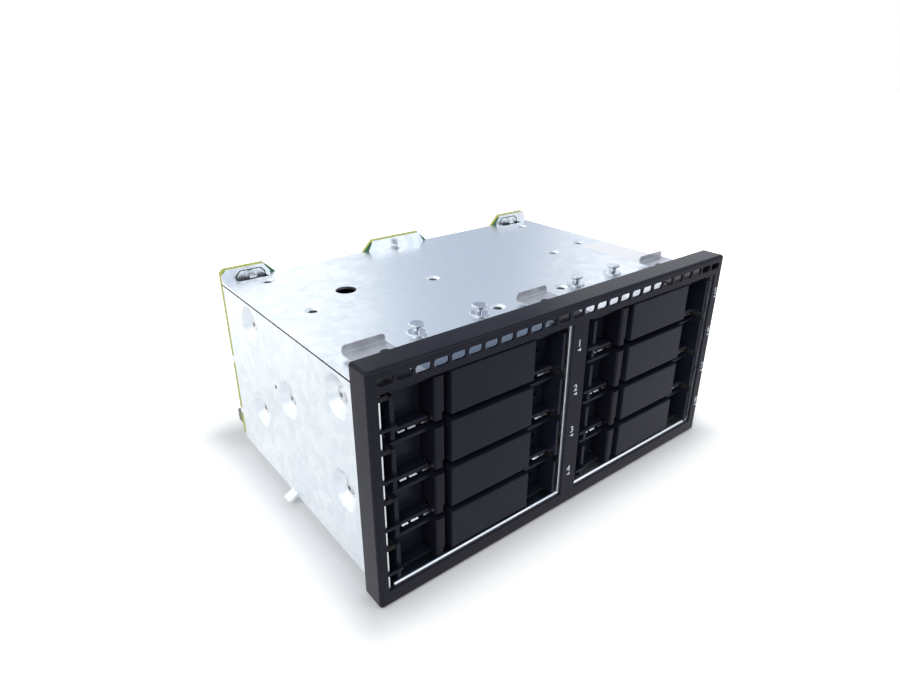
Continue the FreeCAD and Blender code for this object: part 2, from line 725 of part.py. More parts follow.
def make_screws():
    """Five screws into each outer guide, and six that hold the backplane."""
    guide_screw = screw_master("guide_screw_master", size.guide_screw_length)
    sides = (("left", -cage_half + size.dimple_depth, -90), ("right", cage_half, 90))
    for side, seat, angle in sides:
        turn = (FreeCAD.Vector(0, 1, 0), angle)
        screws = []
        for number, (y, z) in enumerate(dimple_spots, start=1):
            screws.append(copy_of(guide_screw, f"{side}_screw_{number}", seat, y, z, turn))
        keep(group(f"{side}_guide_screws", screws))
    board_screw = screw_master("board_screw_master", size.screw_length)
    turn = (FreeCAD.Vector(1, 0, 0), -90)
    rear = []
    for number, (x, z) in enumerate(board_screws(), start=1):
        rear.append(copy_of(board_screw, f"board_screw_{number}", x, back + size.board_thickness, z, turn))
    keep(group("backplane_screws", rear))


# ---------------------------------------------------------------- bezel
def make_bezel():
    """The moulded bezel: a thin front wall, a deep rim, two windows and a row of vent slots."""
    body = new_body("front_bezel")
    high = bezel_high
    rim = size.bezel_rim
    pad(body, "y", "shell", ZERO, size.bezel_depth, [rectangle(bezel_west, ZERO, bezel_east, high)])
    hollow = rectangle(bezel_west + rim, rim, bezel_east - rim, high - rim)
    cut(body, "y", "hollow", size.bezel_wall, size.bezel_depth + 0.1, [hollow])
    stile = size.stile_width / 2
    outer = cage_half - size.side_flange + size.window_margin
    windows = []
    for near_end, far_end in ((-outer, -stile), (stile, outer)):
        windows.append(rectangle(near_end + size.window_shift, size.cage_lift + size.sheet,
                                 far_end + size.window_shift, cage_top - size.window_drop))
    cut(body, "y", "windows", Size(-0.1), size.bezel_wall + 0.1, windows)
    make_slots(body)

    low_ribs = []
    for offset in (-66.0, -22.0, 22.0, 66.0):
        low_ribs.append(rectangle(Size(offset - 0.6), rim - 0.1, Size(offset + 0.6), size.cage_lift))
    pad(body, "y", "low_ribs", size.bezel_wall - 0.1, size.bezel_depth - 1.0, low_ribs)

    low_shelf = cage_top + size.clip_gauge + size.running_gap
    shelves = []
    for centre in clip_centres():
        shelves.append([centre - size.shelf_left, centre + size.shelf_right])
    shelves[-1] = [clip_centres()[-1] - size.shelf_left * 2, bezel_east - rim + 0.1]
    outlines = [rectangle(start, low_shelf, end, low_shelf + 0.6) for start, end in shelves]
    pad(body, "y", "clip_shelves", size.bezel_wall - 0.1, size.bezel_wall + 5.3, outlines)

    catch_y = size.bezel_depth + size.catch_reach - size.catch_radius
    catch = pad(body, "z", "catch", high - rim, high,
                circles=[(bezel_west + size.catch_start, catch_y, size.catch_radius)])
    repeat(body, "catches", [catch], "x", size.catch_spacing, 3)

    def outer_edge(edge):
        box = edge.BoundBox
        on_front = near(box.YMin, 0) and near(box.YMax, 0)
        wide = box.XLength > cage_width.value() * 0.95 or box.ZLength > high.value() * 0.95
        return on_front and wide

    def upright_edge(edge):
        box = edge.BoundBox
        return straight_along(edge, "y") and box.YLength > 0.9 * size.bezel_depth.value()

    round_edges(body, "corner_rounding", rim * 0.95, upright_edge)
    round_edges(body, "front_rounding", rim, outer_edge)
    keep(body)


def make_slots(body):
    """One vent slot with rounded corners, repeated along the top rail."""
    drawing = sketch_at(body, "y", Size(-0.1), "slot_sketch")
    centre = bezel_west + size.slot_start
    height = bezel_high - size.slot_drop
    radius = size.slot_rounding
    reach = size.slot_length / 2 - radius
    rise = size.slot_height / 2 - radius
    draw_rounded(drawing, centre, height, reach, rise, radius)
    slot = body.newObject("PartDesign::Pocket", "slot")
    slot.Profile = drawing
    bind(slot, "Length", size.bezel_wall + 0.2)
    usable = (bezel_east - bezel_west - size.slot_start * 2).value()
    count = int(usable / size.slot_pitch.value() + 1.2)
    repeat(body, "slots", [slot], "x", size.slot_pitch, count)


def draw_rounded(drawing, across, up, reach, rise, radius):
    """A rounded rectangle, from its centre and the distances from there to its corners' centres."""
    axis = FreeCAD.Vector(0, 0, 1)
    quarter = math.pi / 2
    corners = [(across + reach, up + rise), (across - reach, up + rise),
               (across - reach, up - rise), (across + reach, up - rise)]
    ends = []
    for step, (x, y) in enumerate(corners):
        ring = Part.Circle(FreeCAD.Vector(x.value(), y.value(), 0), axis, radius.value())
        arc = Part.ArcOfCircle(ring, quarter * step, quarter * (step + 1))
        drawing.addGeometry(arc)
        ends.append((arc.StartPoint, arc.EndPoint))
    for step in range(4):
        drawing.addGeometry(Part.LineSegment(ends[step][1], ends[(step + 1) % 4][0]))
    for step, (x, y) in enumerate(corners):
        fix_point(drawing, step, 3, x, y)
        drawing.addConstraint(Sketcher.Constraint("Tangent", step, 2, 4 + step, 1))
        drawing.addConstraint(Sketcher.Constraint("Tangent", 4 + step, 2, (step + 1) % 4, 1))
    for step in range(1, 4):
        drawing.addConstraint(Sketcher.Constraint("Equal", 0, step))
    limit = drawing.addConstraint(Sketcher.Constraint("Radius", 0, radius.value()))
    drawing.setExpression(f"Constraints[{limit}]", radius.text)


def clip_centres():
    """The three spring clips across the top of the bezel."""
    reach = cage_half - size.clip_inset
    return [-reach, ZERO, reach]


def make_clips():
    """Spring steel clips that hold the bezel's rim and end in a turned-up lip."""
    flat = cage_top + size.clip_rise
    gauge = size.clip_gauge
    start = front + 0.7
    for name, centre in zip(("left_clip", "middle_clip", "right_clip"), clip_centres()):
        body = new_body(name)
        profile = [(start, cage_top), (start + 5.0, cage_top), (start + 7.0, flat), (size.clip_reach, flat),
                   (size.clip_reach + 0.6, flat + 0.6), (size.clip_reach + 0.6, flat + size.clip_lip),
                   (size.clip_reach + 0.6 - gauge, flat + size.clip_lip),
                   (size.clip_reach + 0.6 - gauge, flat + 0.8),
                   (size.clip_reach - 0.3, flat + gauge), (start + 6.8, flat + gauge),
                   (start + 4.8, cage_top + gauge), (start, cage_top + gauge)]
        half = size.clip_width / 2
        pad(body, "x", "strip", centre - half, centre + half, [profile])

        def lip_corner(edge):
            box = edge.BoundBox
            high = (flat + size.clip_lip).value()
            return straight_along(edge, "y") and near(box.ZMin, high)

        round_edges(body, "lip_rounding", Size(1.2), lip_corner)
        keep(body)


# ---------------------------------------------------------------- backplane
def make_board():
    """The backplane: a board with three ears, air windows, and notches for the side walls' tabs."""
    body = new_body("backplane_board")
    side = cage_half + size.board_overhang
    low = size.cage_lift + 1.8
    high = cage_top + size.board_ear
    slope = size.board_ear + 0.5
    ear_end = cage_half - size.tab_width - 3.2
    middle = size.middle_tab_width / 2 + 2.8
    shoulder = cage_top - 0.5
    notches = board_notches()
    depth = 1.6
    bottom = -side + depth
    left = []
    for height in reversed(notches):
        left += [(-side, height + 3.4), (bottom, height + 3.4), (bottom, height), (-side, height)]
    right = [(-across, up) for across, up in reversed(left)]
    outline = ([(-side, high - 1.5), (-side + 1.5, high), (-ear_end - slope, high), (-ear_end, shoulder),
                (-middle, shoulder), (-middle + slope, high), (middle - slope, high), (middle, shoulder),
                (ear_end, shoulder), (ear_end + slope, high), (side - 1.5, high), (side, high - 1.5)][::-1])
    outline = left + [(-side, low), (side, low)] + right + outline
    pad(body, "y", "board", back, back + size.board_thickness, [outline])
    air = []
    for column in COLUMNS:
        middle_x = bay_left(column) + size.bay_width / 2
        for row in ROWS[:-1]:
            height = row_height(row) - size.row_pitch / 2
            air.append(rectangle(middle_x - size.window_width / 2, height - size.window_height / 2,
                                 middle_x + size.window_width / 2, height + size.window_height / 2))
    cut(body, "y", "air_windows", back - 0.1, back + size.board_thickness + 0.1, air)
    holes = [(x, z, size.screw_radius + 0.15) for x, z in board_screws()]
    cut(body, "y", "screw_holes", back - 0.1, back + size.board_thickness + 0.1, circles=holes)
    keep(body)


def make_drive_connectors():
    """The eight drive sockets, with an L-shaped mouth and a guide post at each end."""
    master = new_body("socket_master")
    half = size.socket_width / 2
    tall = size.socket_height / 2
    deep = size.socket_depth
    pad(master, "y", "shell", -deep, ZERO, [rectangle(-half + 4.0, -tall, half - 4.0, tall)])
    mouth = [(-half + 5.2, -1.3), (half - 5.2, -1.3), (half - 5.2, 1.3), (-half + 7.4, 1.3),
             (-half + 7.4, 0.4), (-half + 5.2, 0.4)]
    cut(master, "y", "mouth", -deep - 0.1, Size(-1.4), [mouth])
    pad(master, "y", "tongue", -deep + 1.6, Size(-1.3), [rectangle(-half + 8.4, -0.6, half - 6.4, 0.5)])
    posts = [[(side * half, -tall + 0.6), (side * (half - 4.1), -tall), (side * (half - 4.1), tall),
              (side * half, tall - 0.6)][::side] for side in (-1, 1)]
    pad(master, "y", "posts", -deep + 2.4, ZERO, posts)
    for column in COLUMNS:
        for row in ROWS:
            number = (column - 1) * len(ROWS) + row
            twin = copy_of(master, f"drive_connector_{number}", bay_left(column) + size.bay_width / 2,
                           back - half_depth, row_height(row) - 2.6)
            nodes.append(twin)


def make_cable_connectors():
    """The sockets behind the board for the data, power and signal cables."""
    rear = back + size.board_thickness
    specs = (
        ("data_connector_1", ZERO, row_height(1) - 8.0, 22.0, 9.4, size.cable_socket_depth, 1.3),
        ("data_connector_2", ZERO, row_height(2) - 8.0, 22.0, 9.4, size.cable_socket_depth, 1.3),
        ("power_connector", ZERO, row_height(3) - 8.0, 21.0, 9.8, size.cable_socket_depth - 1.5, 1.2),
        ("signal_connector", -cage_half + 5.1, first_row - 2.6, 9.8, 5.4,
         size.cable_socket_depth * 0.46, 0.8),
    )
    for name, x, z, width, height, depth, wall in specs:
        body = new_body(name)
        z = Size(Size.text_of(z))
        pad(body, "y", "shell", rear, rear + depth,
            [rectangle(x - width / 2, z - height / 2, x + width / 2, z + height / 2)])
        inner = rectangle(x - width / 2 + wall, z - height / 2 + wall,
                          x + width / 2 - wall, z + height / 2 - wall)
        cut(body, "y", "mouth", rear + 1.5, rear + depth + 0.1, [inner])
        blade = rectangle(x - width / 2 + wall * 2, z - 0.7, x + width / 2 - wall * 2, z + 0.7)
        pad(body, "y", "blade", rear + 1.4, rear + depth * 0.8, [blade])
        keep(body)


# ---------------------------------------------------------------- drive blanks
lever_left = size.blank_inset + 1.5 + size.pocket_width
panel_left = lever_left + size.lever_width + size.lever_gap
panel_right = panel_left + size.panel_width
blank_right = size.bay_width - size.running_gap
pivot_x = lever_left + size.lever_arm / 2
lip_end = lever_left - size.running_gap


def make_blank_master():
    """One drive blank: a moulded frame with a hollow centre panel between two finger pockets."""
    body = new_body("blank_master")
    low = -size.blank_below
    high = size.blank_above
    left = size.blank_inset
    side_wall = 1.5
    right_wall = size.blank_wall - 0.2
    frame = [rectangle(left, size.pocket_back, blank_right, size.blank_length),
             rectangle(left + side_wall, size.pocket_back + size.blank_wall, blank_right - right_wall,
                       size.blank_length - size.blank_wall)]
    pad(body, "z", "frame", low, high, frame)
    cheeks = [rectangle(left, size.lever_face - 0.2, left + side_wall, size.pocket_back + 0.1),
              rectangle(blank_right - right_wall, size.panel_face, blank_right, size.pocket_back + 0.1)]
    pad(body, "z", "cheeks", low, high, cheeks)
    half = size.panel_height / 2
    pad(body, "y", "centre_panel", size.panel_face, size.pocket_back + 0.1,
        [rectangle(panel_left, -half, panel_right, half)])

    def front_edge(edge):
        box = edge.BoundBox
        on_front = near(box.YMin, size.panel_face.value()) and near(box.YMax, size.panel_face.value())
        return on_front and box.XMin > panel_left.value() - 0.1 and box.XMax < panel_right.value() + 0.1

    wall = size.blank_wall
    lip = size.blank_lip
    lips = [rectangle(left + 0.1, size.lip_face, lip_end, size.pocket_back + 0.1),
            rectangle(panel_right - 0.1, size.lip_face, blank_right - 0.1, size.pocket_back + 0.1)]
    pad(body, "z", "low_lips", low, low + lip, lips)
    high_lips = [rectangle(left + 0.1, size.lip_face, panel_left + 0.1, size.pocket_back + 0.1), lips[1]]
    pad(body, "z", "high_lips", high - lip, high, high_lips)
    round_edges(body, "panel_rounding", Size(0.5), front_edge)
    cut(body, "y", "panel_hollow", size.panel_face + wall, size.pocket_back + wall + 0.1,
        [rectangle(panel_left + wall, -half + wall, panel_right - wall, half - wall)])
    cut(body, "y", "lever_slot", size.pocket_back - 0.1, size.pocket_back + wall + 0.1,
        [rectangle(lip_end, low - 0.1, panel_left - size.running_gap, high - lip)])
    cut(body, "y", "pip_hole", size.pocket_back - 0.1, size.pocket_back + wall + 0.1,
        circles=[(blank_right - 4.9, Size(-2.2), 0.9)])

    arm_window = [(Size(20.0), Size(-3.6)), (Size(22.0), Size(-5.6)), (size.blank_length - 14.0, Size(-5.6)),
                  (size.blank_length - 12.0, Size(-3.6)), (size.blank_length - 12.0, Size(1.6)),
                  (size.blank_length - 14.0, Size(3.6)), (Size(22.0), Size(3.6)), (Size(20.0), Size(1.6))]
    cut(body, "x", "arm_windows", blank_right - right_wall - 0.1, blank_right + 0.1, [arm_window])
    rear_window = rectangle(left + 12.0, low + 4.0, blank_right - 12.0, high - 4.0)
    cut(body, "y", "rear_window", size.blank_length - wall - 0.1, size.blank_length + 0.1, [rear_window])

    tab = rectangle(window_edge + 0.3, size.bezel_wall - 0.75,
                    left + side_wall, size.bezel_wall - 0.15)
    neck = rectangle(left, size.bezel_wall - 0.25, left + side_wall, size.lever_face)
    pad(body, "z", "stop_tab", -size.stop_drop - 0.5, -size.stop_drop + 0.5, [tab])
    pad(body, "z", "stop_neck", -size.stop_drop - 0.5, -size.stop_drop + 0.5, [neck])

    shelf = rectangle(left + 0.5, size.pivot_depth - 4.0,
                      pivot_x + size.pivot_radius + 1.6, size.pivot_depth + 4.0)
    pad(body, "z", "pivot_shelf", low, low + lip, [shelf])
    pin = (pivot_x, size.pivot_depth, size.pivot_radius)
    pad(body, "z", "pivot_pin", low + lip - 0.1, high - lip - 0.2, circles=[pin])
    return body


def make_lever_master():
    """The blank's release lever: a grip bar on an arm that turns on the blank's upright pin."""
    body = new_body("lever_master")
    low = -size.blank_below
    arm_low = low + size.blank_lip + size.running_gap
    arm_high = size.blank_above - size.blank_lip - size.running_gap
    bar_right = lever_left + size.lever_width
    bar_back = size.lever_face + size.lever_bar
    bar = [(lever_left, low), (bar_right - 1.2, low), (bar_right - 1.2, low + 2.6), (bar_right, low + 2.6),
           (bar_right, -low - 1.2), (lever_left, -low - 1.2)]
    pad(body, "y", "grip_bar", size.lever_face, bar_back, [bar])

    def bar_edge(edge):
        box = edge.BoundBox
        return straight_along(edge, "z") and near(box.YMin, size.lever_face.value()) and box.ZLength > 8.0

    round_edges(body, "grip_rounding", Size(0.9), bar_edge)
    arm = rectangle(lever_left, bar_back - 0.1, lever_left + size.lever_arm, size.pivot_depth)
    pad(body, "z", "arm", arm_low, arm_high, [arm])
    pad(body, "z", "boss", arm_low, arm_high, circles=[(pivot_x, size.pivot_depth, size.boss_radius)])
    bore = size.pivot_radius + size.pivot_play
    cut(body, "z", "bore", arm_low - 0.1, arm_high + 0.1, circles=[(pivot_x, size.pivot_depth, bore)])
    return body


def make_blanks():
    """A blank and its lever in every bay."""
    blank = make_blank_master()
    lever = make_lever_master()
    for column in COLUMNS:
        for row in ROWS:
            number = (column - 1) * len(ROWS) + row
            spot = (bay_left(column), -half_depth, row_height(row))
            nodes.append(copy_of(blank, f"drive_blank_{number}", *spot))
            nodes.append(copy_of(lever, f"blank_lever_{number}", *spot))


# ---------------------------------------------------------------- assembly
def make_guides():
    """The four guides, and the shielding springs on their ledges."""
    left_fingers = ((8.3, 10.8), (11.9, 14.8), (17.0, 19.9))
    right_fingers = ((-8.6, -5.1), (-4.6, -2.3))
    sides = (("left_outer", 1, True, True), ("left_inner", 1, False, False),
             ("right_inner", 2, True, False), ("right_outer", 2, False, True))
    for name, column, is_left, screwed in sides:
        make_guide(f"{name}_guide", column, is_left, screwed)
        fingers = left_fingers if is_left else right_fingers
        edge = bay_left(column) if is_left else bay_left(column) + size.bay_width
        make_shield_springs(f"{name}_springs", edge, fingers)


def check_document():
    """Stops if any object failed, or if a cut took nothing away."""
    for thing in doc.Objects:
        if "Invalid" in thing.State or "Error" in thing.State:
            raise RuntimeError(f"{thing.Label}: {thing.State}")
        if thing.TypeId in ("PartDesign::Pocket", "PartDesign::Hole") and thing.BaseFeature:
            if thing.Shape.Volume >= thing.BaseFeature.Shape.Volume - 1e-6:
                raise RuntimeError(f"{thing.Label} cuts nothing")


def write_nodes():
    """Writes each sub-part to its own STEP file, after testing all of them."""
    os.makedirs("parts", exist_ok=True)
    for node in nodes:
        if node.Shape.isNull() or not node.Shape.isValid():
            raise RuntimeError(f"{node.Label} has no valid shape")
    for node in nodes:
        node.Shape.exportStep(f"parts/{node.Label}.step")
        print(node.Label, len(node.Shape.Solids), round(node.Shape.Volume, 1))


make_tray()
make_cover()
make_studs()
make_divider()
make_guides()
make_screws()
make_bezel()
make_clips()
make_board()
make_drive_connectors()
make_cable_connectors()
make_blanks()
doc.recompute()
check_document()
write_nodes()
print(len(nodes), "nodes")
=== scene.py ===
"""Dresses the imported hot-swap drive cage.

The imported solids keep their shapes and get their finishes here. Printed marks, a bare label, gold
contacts and solder joints are added, and then the studio.
"""
import logging
import math
from collections.abc import Sequence
from dataclasses import dataclass
from enum import Enum

import bpy
from mathutils import Matrix, Vector


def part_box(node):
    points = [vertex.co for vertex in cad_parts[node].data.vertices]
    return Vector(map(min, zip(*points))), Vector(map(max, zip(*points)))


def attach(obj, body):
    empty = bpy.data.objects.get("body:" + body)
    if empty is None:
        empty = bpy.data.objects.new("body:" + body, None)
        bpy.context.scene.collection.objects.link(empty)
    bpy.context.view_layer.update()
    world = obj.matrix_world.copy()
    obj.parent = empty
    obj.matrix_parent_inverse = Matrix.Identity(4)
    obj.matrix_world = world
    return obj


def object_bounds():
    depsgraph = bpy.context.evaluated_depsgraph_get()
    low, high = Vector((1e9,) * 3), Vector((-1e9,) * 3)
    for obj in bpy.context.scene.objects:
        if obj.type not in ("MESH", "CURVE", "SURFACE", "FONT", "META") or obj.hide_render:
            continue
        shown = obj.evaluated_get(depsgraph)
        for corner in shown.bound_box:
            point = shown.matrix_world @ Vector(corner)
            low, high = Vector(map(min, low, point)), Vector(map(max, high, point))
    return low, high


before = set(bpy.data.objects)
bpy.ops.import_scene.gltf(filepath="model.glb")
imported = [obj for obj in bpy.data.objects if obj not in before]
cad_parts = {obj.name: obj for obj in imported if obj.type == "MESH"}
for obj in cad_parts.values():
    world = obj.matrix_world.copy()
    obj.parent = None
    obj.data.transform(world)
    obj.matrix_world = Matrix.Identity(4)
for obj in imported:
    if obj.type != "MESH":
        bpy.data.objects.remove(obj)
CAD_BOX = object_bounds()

log = logging.getLogger("drive_cage")

Colour = tuple[float, float, float]
Pair = tuple[float, float]

MM = 0.001
CAGE = "cage"
COLUMNS = 2
ROWS = 4
WHITE: Colour = (1.0, 1.0, 1.0)


# ------------------------------------------------------------------ node graphs
class Graph:
    """A node tree, with short calls for the nodes that the materials and the world share."""

    def __init__(self, tree: bpy.types.NodeTree) -> None:
        """Starts from an empty tree.

        Args:
            tree: a material's or a world's node tree.
        """
        self.tree = tree
        self.tree.nodes.clear()

    def add(self, kind: str) -> bpy.types.Node:
        """Adds a node.

        Args:
            kind: the node's type.

        Returns:
            The new node.
        """
        return self.tree.nodes.new(kind)

    def link(self, source: bpy.types.NodeSocket, target: bpy.types.NodeSocket) -> None:
        """Joins two sockets."""
        self.tree.links.new(source, target)

    def feed(self, target: bpy.types.NodeSocket, value: object) -> None:
        """Gives a socket either a link or a plain value.

        Args:
            target: the input socket.
            value: another node's output socket, or a number or colour.
        """
        if isinstance(value, bpy.types.NodeSocket):
            self.link(value, target)
        else:
            target.default_value = value

    def maths(self, operation: str, *values: object) -> bpy.types.NodeSocket:
        """Calculates one number.

        Args:
            operation: the Math node's operation.
            values: sockets or numbers, one for each input in turn.

        Returns:
            The result.
        """
        node = self.add("ShaderNodeMath")
        node.operation = operation
        for target, value in zip(node.inputs, values):
            self.feed(target, value)
        return node.outputs[0]

    def product(self, *factors: bpy.types.NodeSocket) -> bpy.types.NodeSocket:
        """Multiplies factors.

        Args:
            factors: two or more numbers' sockets.

        Returns:
            Their product.
        """
        result = factors[0]
        for factor in factors[1:]:
            result = self.maths("MULTIPLY", result, factor)
        return result

    def part(self, vector: bpy.types.NodeSocket, axis: str) -> bpy.types.NodeSocket:
        """The part of a vector along an axis.

        Args:
            vector: the vector's socket.
            axis: X, Y or Z.

        Returns:
            The number.
        """
        split = self.add("ShaderNodeSeparateXYZ")
        self.link(vector, split.inputs["Vector"])
        return split.outputs[axis]

    def spread(self, factor: bpy.types.NodeSocket, low: float, high: float,
               start: float = 0.0, end: float = 1.0) -> bpy.types.NodeSocket:
        """Maps a factor to a range.

        Args:
            factor: the number to map.
            low: the result at start.
            high: the result at end.
            start: the factor where the range begins.
            end: the factor where the range ends.

        Returns:
            The mapped number, clamped.
        """
        node = self.add("ShaderNodeMapRange")
        self.link(factor, node.inputs["Value"])
        for socket, value in zip(("From Min", "From Max", "To Min", "To Max"), (start, end, low, high)):
            node.inputs[socket].default_value = value
        return node.outputs["Result"]

    def rise(self, factor: bpy.types.NodeSocket, start: float, end: float) -> bpy.types.NodeSocket:
        """A number that is 0 up to start and 1 from end."""
        return self.spread(factor, 0.0, 1.0, start, end)

    def fall(self, factor: bpy.types.NodeSocket, start: float, end: float) -> bpy.types.NodeSocket:
        """A number that is 1 up to start and 0 from end."""
        return self.spread(factor, 1.0, 0.0, start, end)

    def mix(self, factor: object, first: object, second: object) -> bpy.types.NodeSocket:
        """Mixes two colours.

        Args:
            factor: 0 for the first colour, 1 for the second.
            first: a colour or a socket.
            second: a colour or a socket.

        Returns:
            The mixed colour.
        """
        node = self.add("ShaderNodeMix")
        node.data_type = "RGBA"
        self.feed(node.inputs["Factor"], factor)
        for name, value in (("A", first), ("B", second)):
            target = next(s for s in node.inputs if s.name == name and s.type == "RGBA")
            self.feed(target, (*value, 1.0) if isinstance(value, tuple) else value)
        return next(s for s in node.outputs if s.type == "RGBA")

    def ramp(self, factor: bpy.types.NodeSocket,
             stops: Sequence[tuple[float, Colour]]) -> bpy.types.NodeSocket:
        """Colours that change along a factor.

        Args:
            factor: a number from 0 to 1.
            stops: pairs of a factor and a colour, in order.

        Returns:
            The colour.
        """
        node = self.add("ShaderNodeValToRGB")
        elements = node.color_ramp.elements
        for position, _ in stops[2:]:
            elements.new(position)
        for element, (position, colour) in zip(elements, stops):
            element.position = position
            element.color = (*colour, 1.0)
        self.link(factor, node.inputs["Fac"])
        return node.outputs["Color"]


class MaterialGraph(Graph):
    """A material's node tree, with its Principled shader and the patterns that the finishes share."""

    def __init__(self, name: str) -> None:
        """Starts a material with a Principled shader.

        Args:
            name: the material's name.
        """
        self.material = bpy.data.materials.new(name)
        self.material.use_nodes = True
        super().__init__(self.material.node_tree)
        output = self.add("ShaderNodeOutputMaterial")
        self.shader = self.add("ShaderNodeBsdfPrincipled")
        self.link(self.shader.outputs["BSDF"], output.inputs["Surface"])
        self.coordinates = self.add("ShaderNodeTexCoord").outputs["Object"]

    def set(self, socket: str, value: object) -> None:
        """Feeds one of the Principled shader's inputs."""
        self.feed(self.shader.inputs[socket], value)

    def stretched(self, scale: tuple[float, float, float]) -> bpy.types.NodeSocket:
        """Object coordinates stretched by a Mapping node.

        Args:
            scale: the factors along X, Y and Z.

        Returns:
            The mapped vector.
        """
        mapping = self.add("ShaderNodeMapping")
        mapping.inputs["Scale"].default_value = scale
        self.link(self.coordinates, mapping.inputs["Vector"])
        return mapping.outputs["Vector"]

    def wobbled(self, grain_mm: float, reach_mm: float) -> bpy.types.NodeSocket:
        """Object coordinates shifted by noise, so that cells get crooked edges.

        Args:
            grain_mm: the size of one grain of the noise.
            reach_mm: the longest shift along each axis.

        Returns:
            A vector near the object coordinates.
        """
        noise = self.add("ShaderNodeTexNoise")
        noise.inputs["Scale"].default_value = 1.0 / (grain_mm * MM)
        self.link(self.coordinates, noise.inputs["Vector"])
        shift = self.add("ShaderNodeVectorMath")
        shift.operation = "MULTIPLY_ADD"
        self.link(noise.outputs["Color"], shift.inputs[0])
        shift.inputs[1].default_value = (reach_mm * MM,) * 3
        self.link(self.coordinates, shift.inputs[2])
        return shift.outputs[0]

    def noise(self, grain_mm: float, detail: float = 3.0, rough: float = 0.55,
              vector: bpy.types.NodeSocket | None = None) -> bpy.types.NodeSocket:
        """Fractal noise with a grain in millimetres.

        Args:
            grain_mm: the size of one grain.
            detail: how many finer layers it has.
            rough: how strong the finer layers are.
            vector: the coordinates to read, or None for the object's own.

        Returns:
            The noise factor.
        """
        node = self.add("ShaderNodeTexNoise")
        node.inputs["Scale"].default_value = 1.0 / (grain_mm * MM)
        node.inputs["Detail"].default_value = detail
        node.inputs["Roughness"].default_value = rough
        self.link(vector or self.coordinates, node.inputs["Vector"])
        return node.outputs["Fac"]

    def cells(self, size_mm: float, vector: bpy.types.NodeSocket) -> bpy.types.NodeSocket:
        """One random grey for each crystal-like cell.

        Args:
            size_mm: the size of a cell.
            vector: the coordinates to read.

        Returns:
            A grey from 0 to 1.
        """
        node = self.add("ShaderNodeTexVoronoi")
        node.inputs["Scale"].default_value = 1.0 / (size_mm * MM)
        self.link(vector, node.inputs["Vector"])
        grey = self.add("ShaderNodeSeparateColor")
        self.link(node.outputs["Color"], grey.inputs["Color"])
        return grey.outputs["Red"]

    def relief(self, height: bpy.types.NodeSocket, depth_mm: float, strength: float,
               under: bpy.types.NodeSocket | None = None) -> bpy.types.NodeSocket:
        """A bump from a height, to feed the shader's Normal.

        Args:
            height: a factor from 0 to 1.
            depth_mm: the height of factor 1.
            strength: how much of it shows.
            under: a normal that this one is added to.

        Returns:
            The bumped normal.
        """
        node = self.add("ShaderNodeBump")
        node.inputs["Distance"].default_value = depth_mm * MM
        node.inputs["Strength"].default_value = strength
        self.link(height, node.inputs["Height"])
        if under is not None:
            self.link(under, node.inputs["Normal"])
        return node.outputs["Normal"]

    def place(self, axis: str) -> bpy.types.NodeSocket:
        """Where a point lies along an axis, in metres."""
        return self.part(self.coordinates, axis)

    def looking(self, axis: str) -> bpy.types.NodeSocket:
        """How far a face looks along an axis, from -1 to 1."""
        return self.part(self.add("ShaderNodeNewGeometry").outputs["True Normal"], axis)

    def facing(self, axis: str) -> bpy.types.NodeSocket:
        """How squarely a face looks along an axis, either way, from 0 to 1."""
        return self.maths("ABSOLUTE", self.looking(axis))


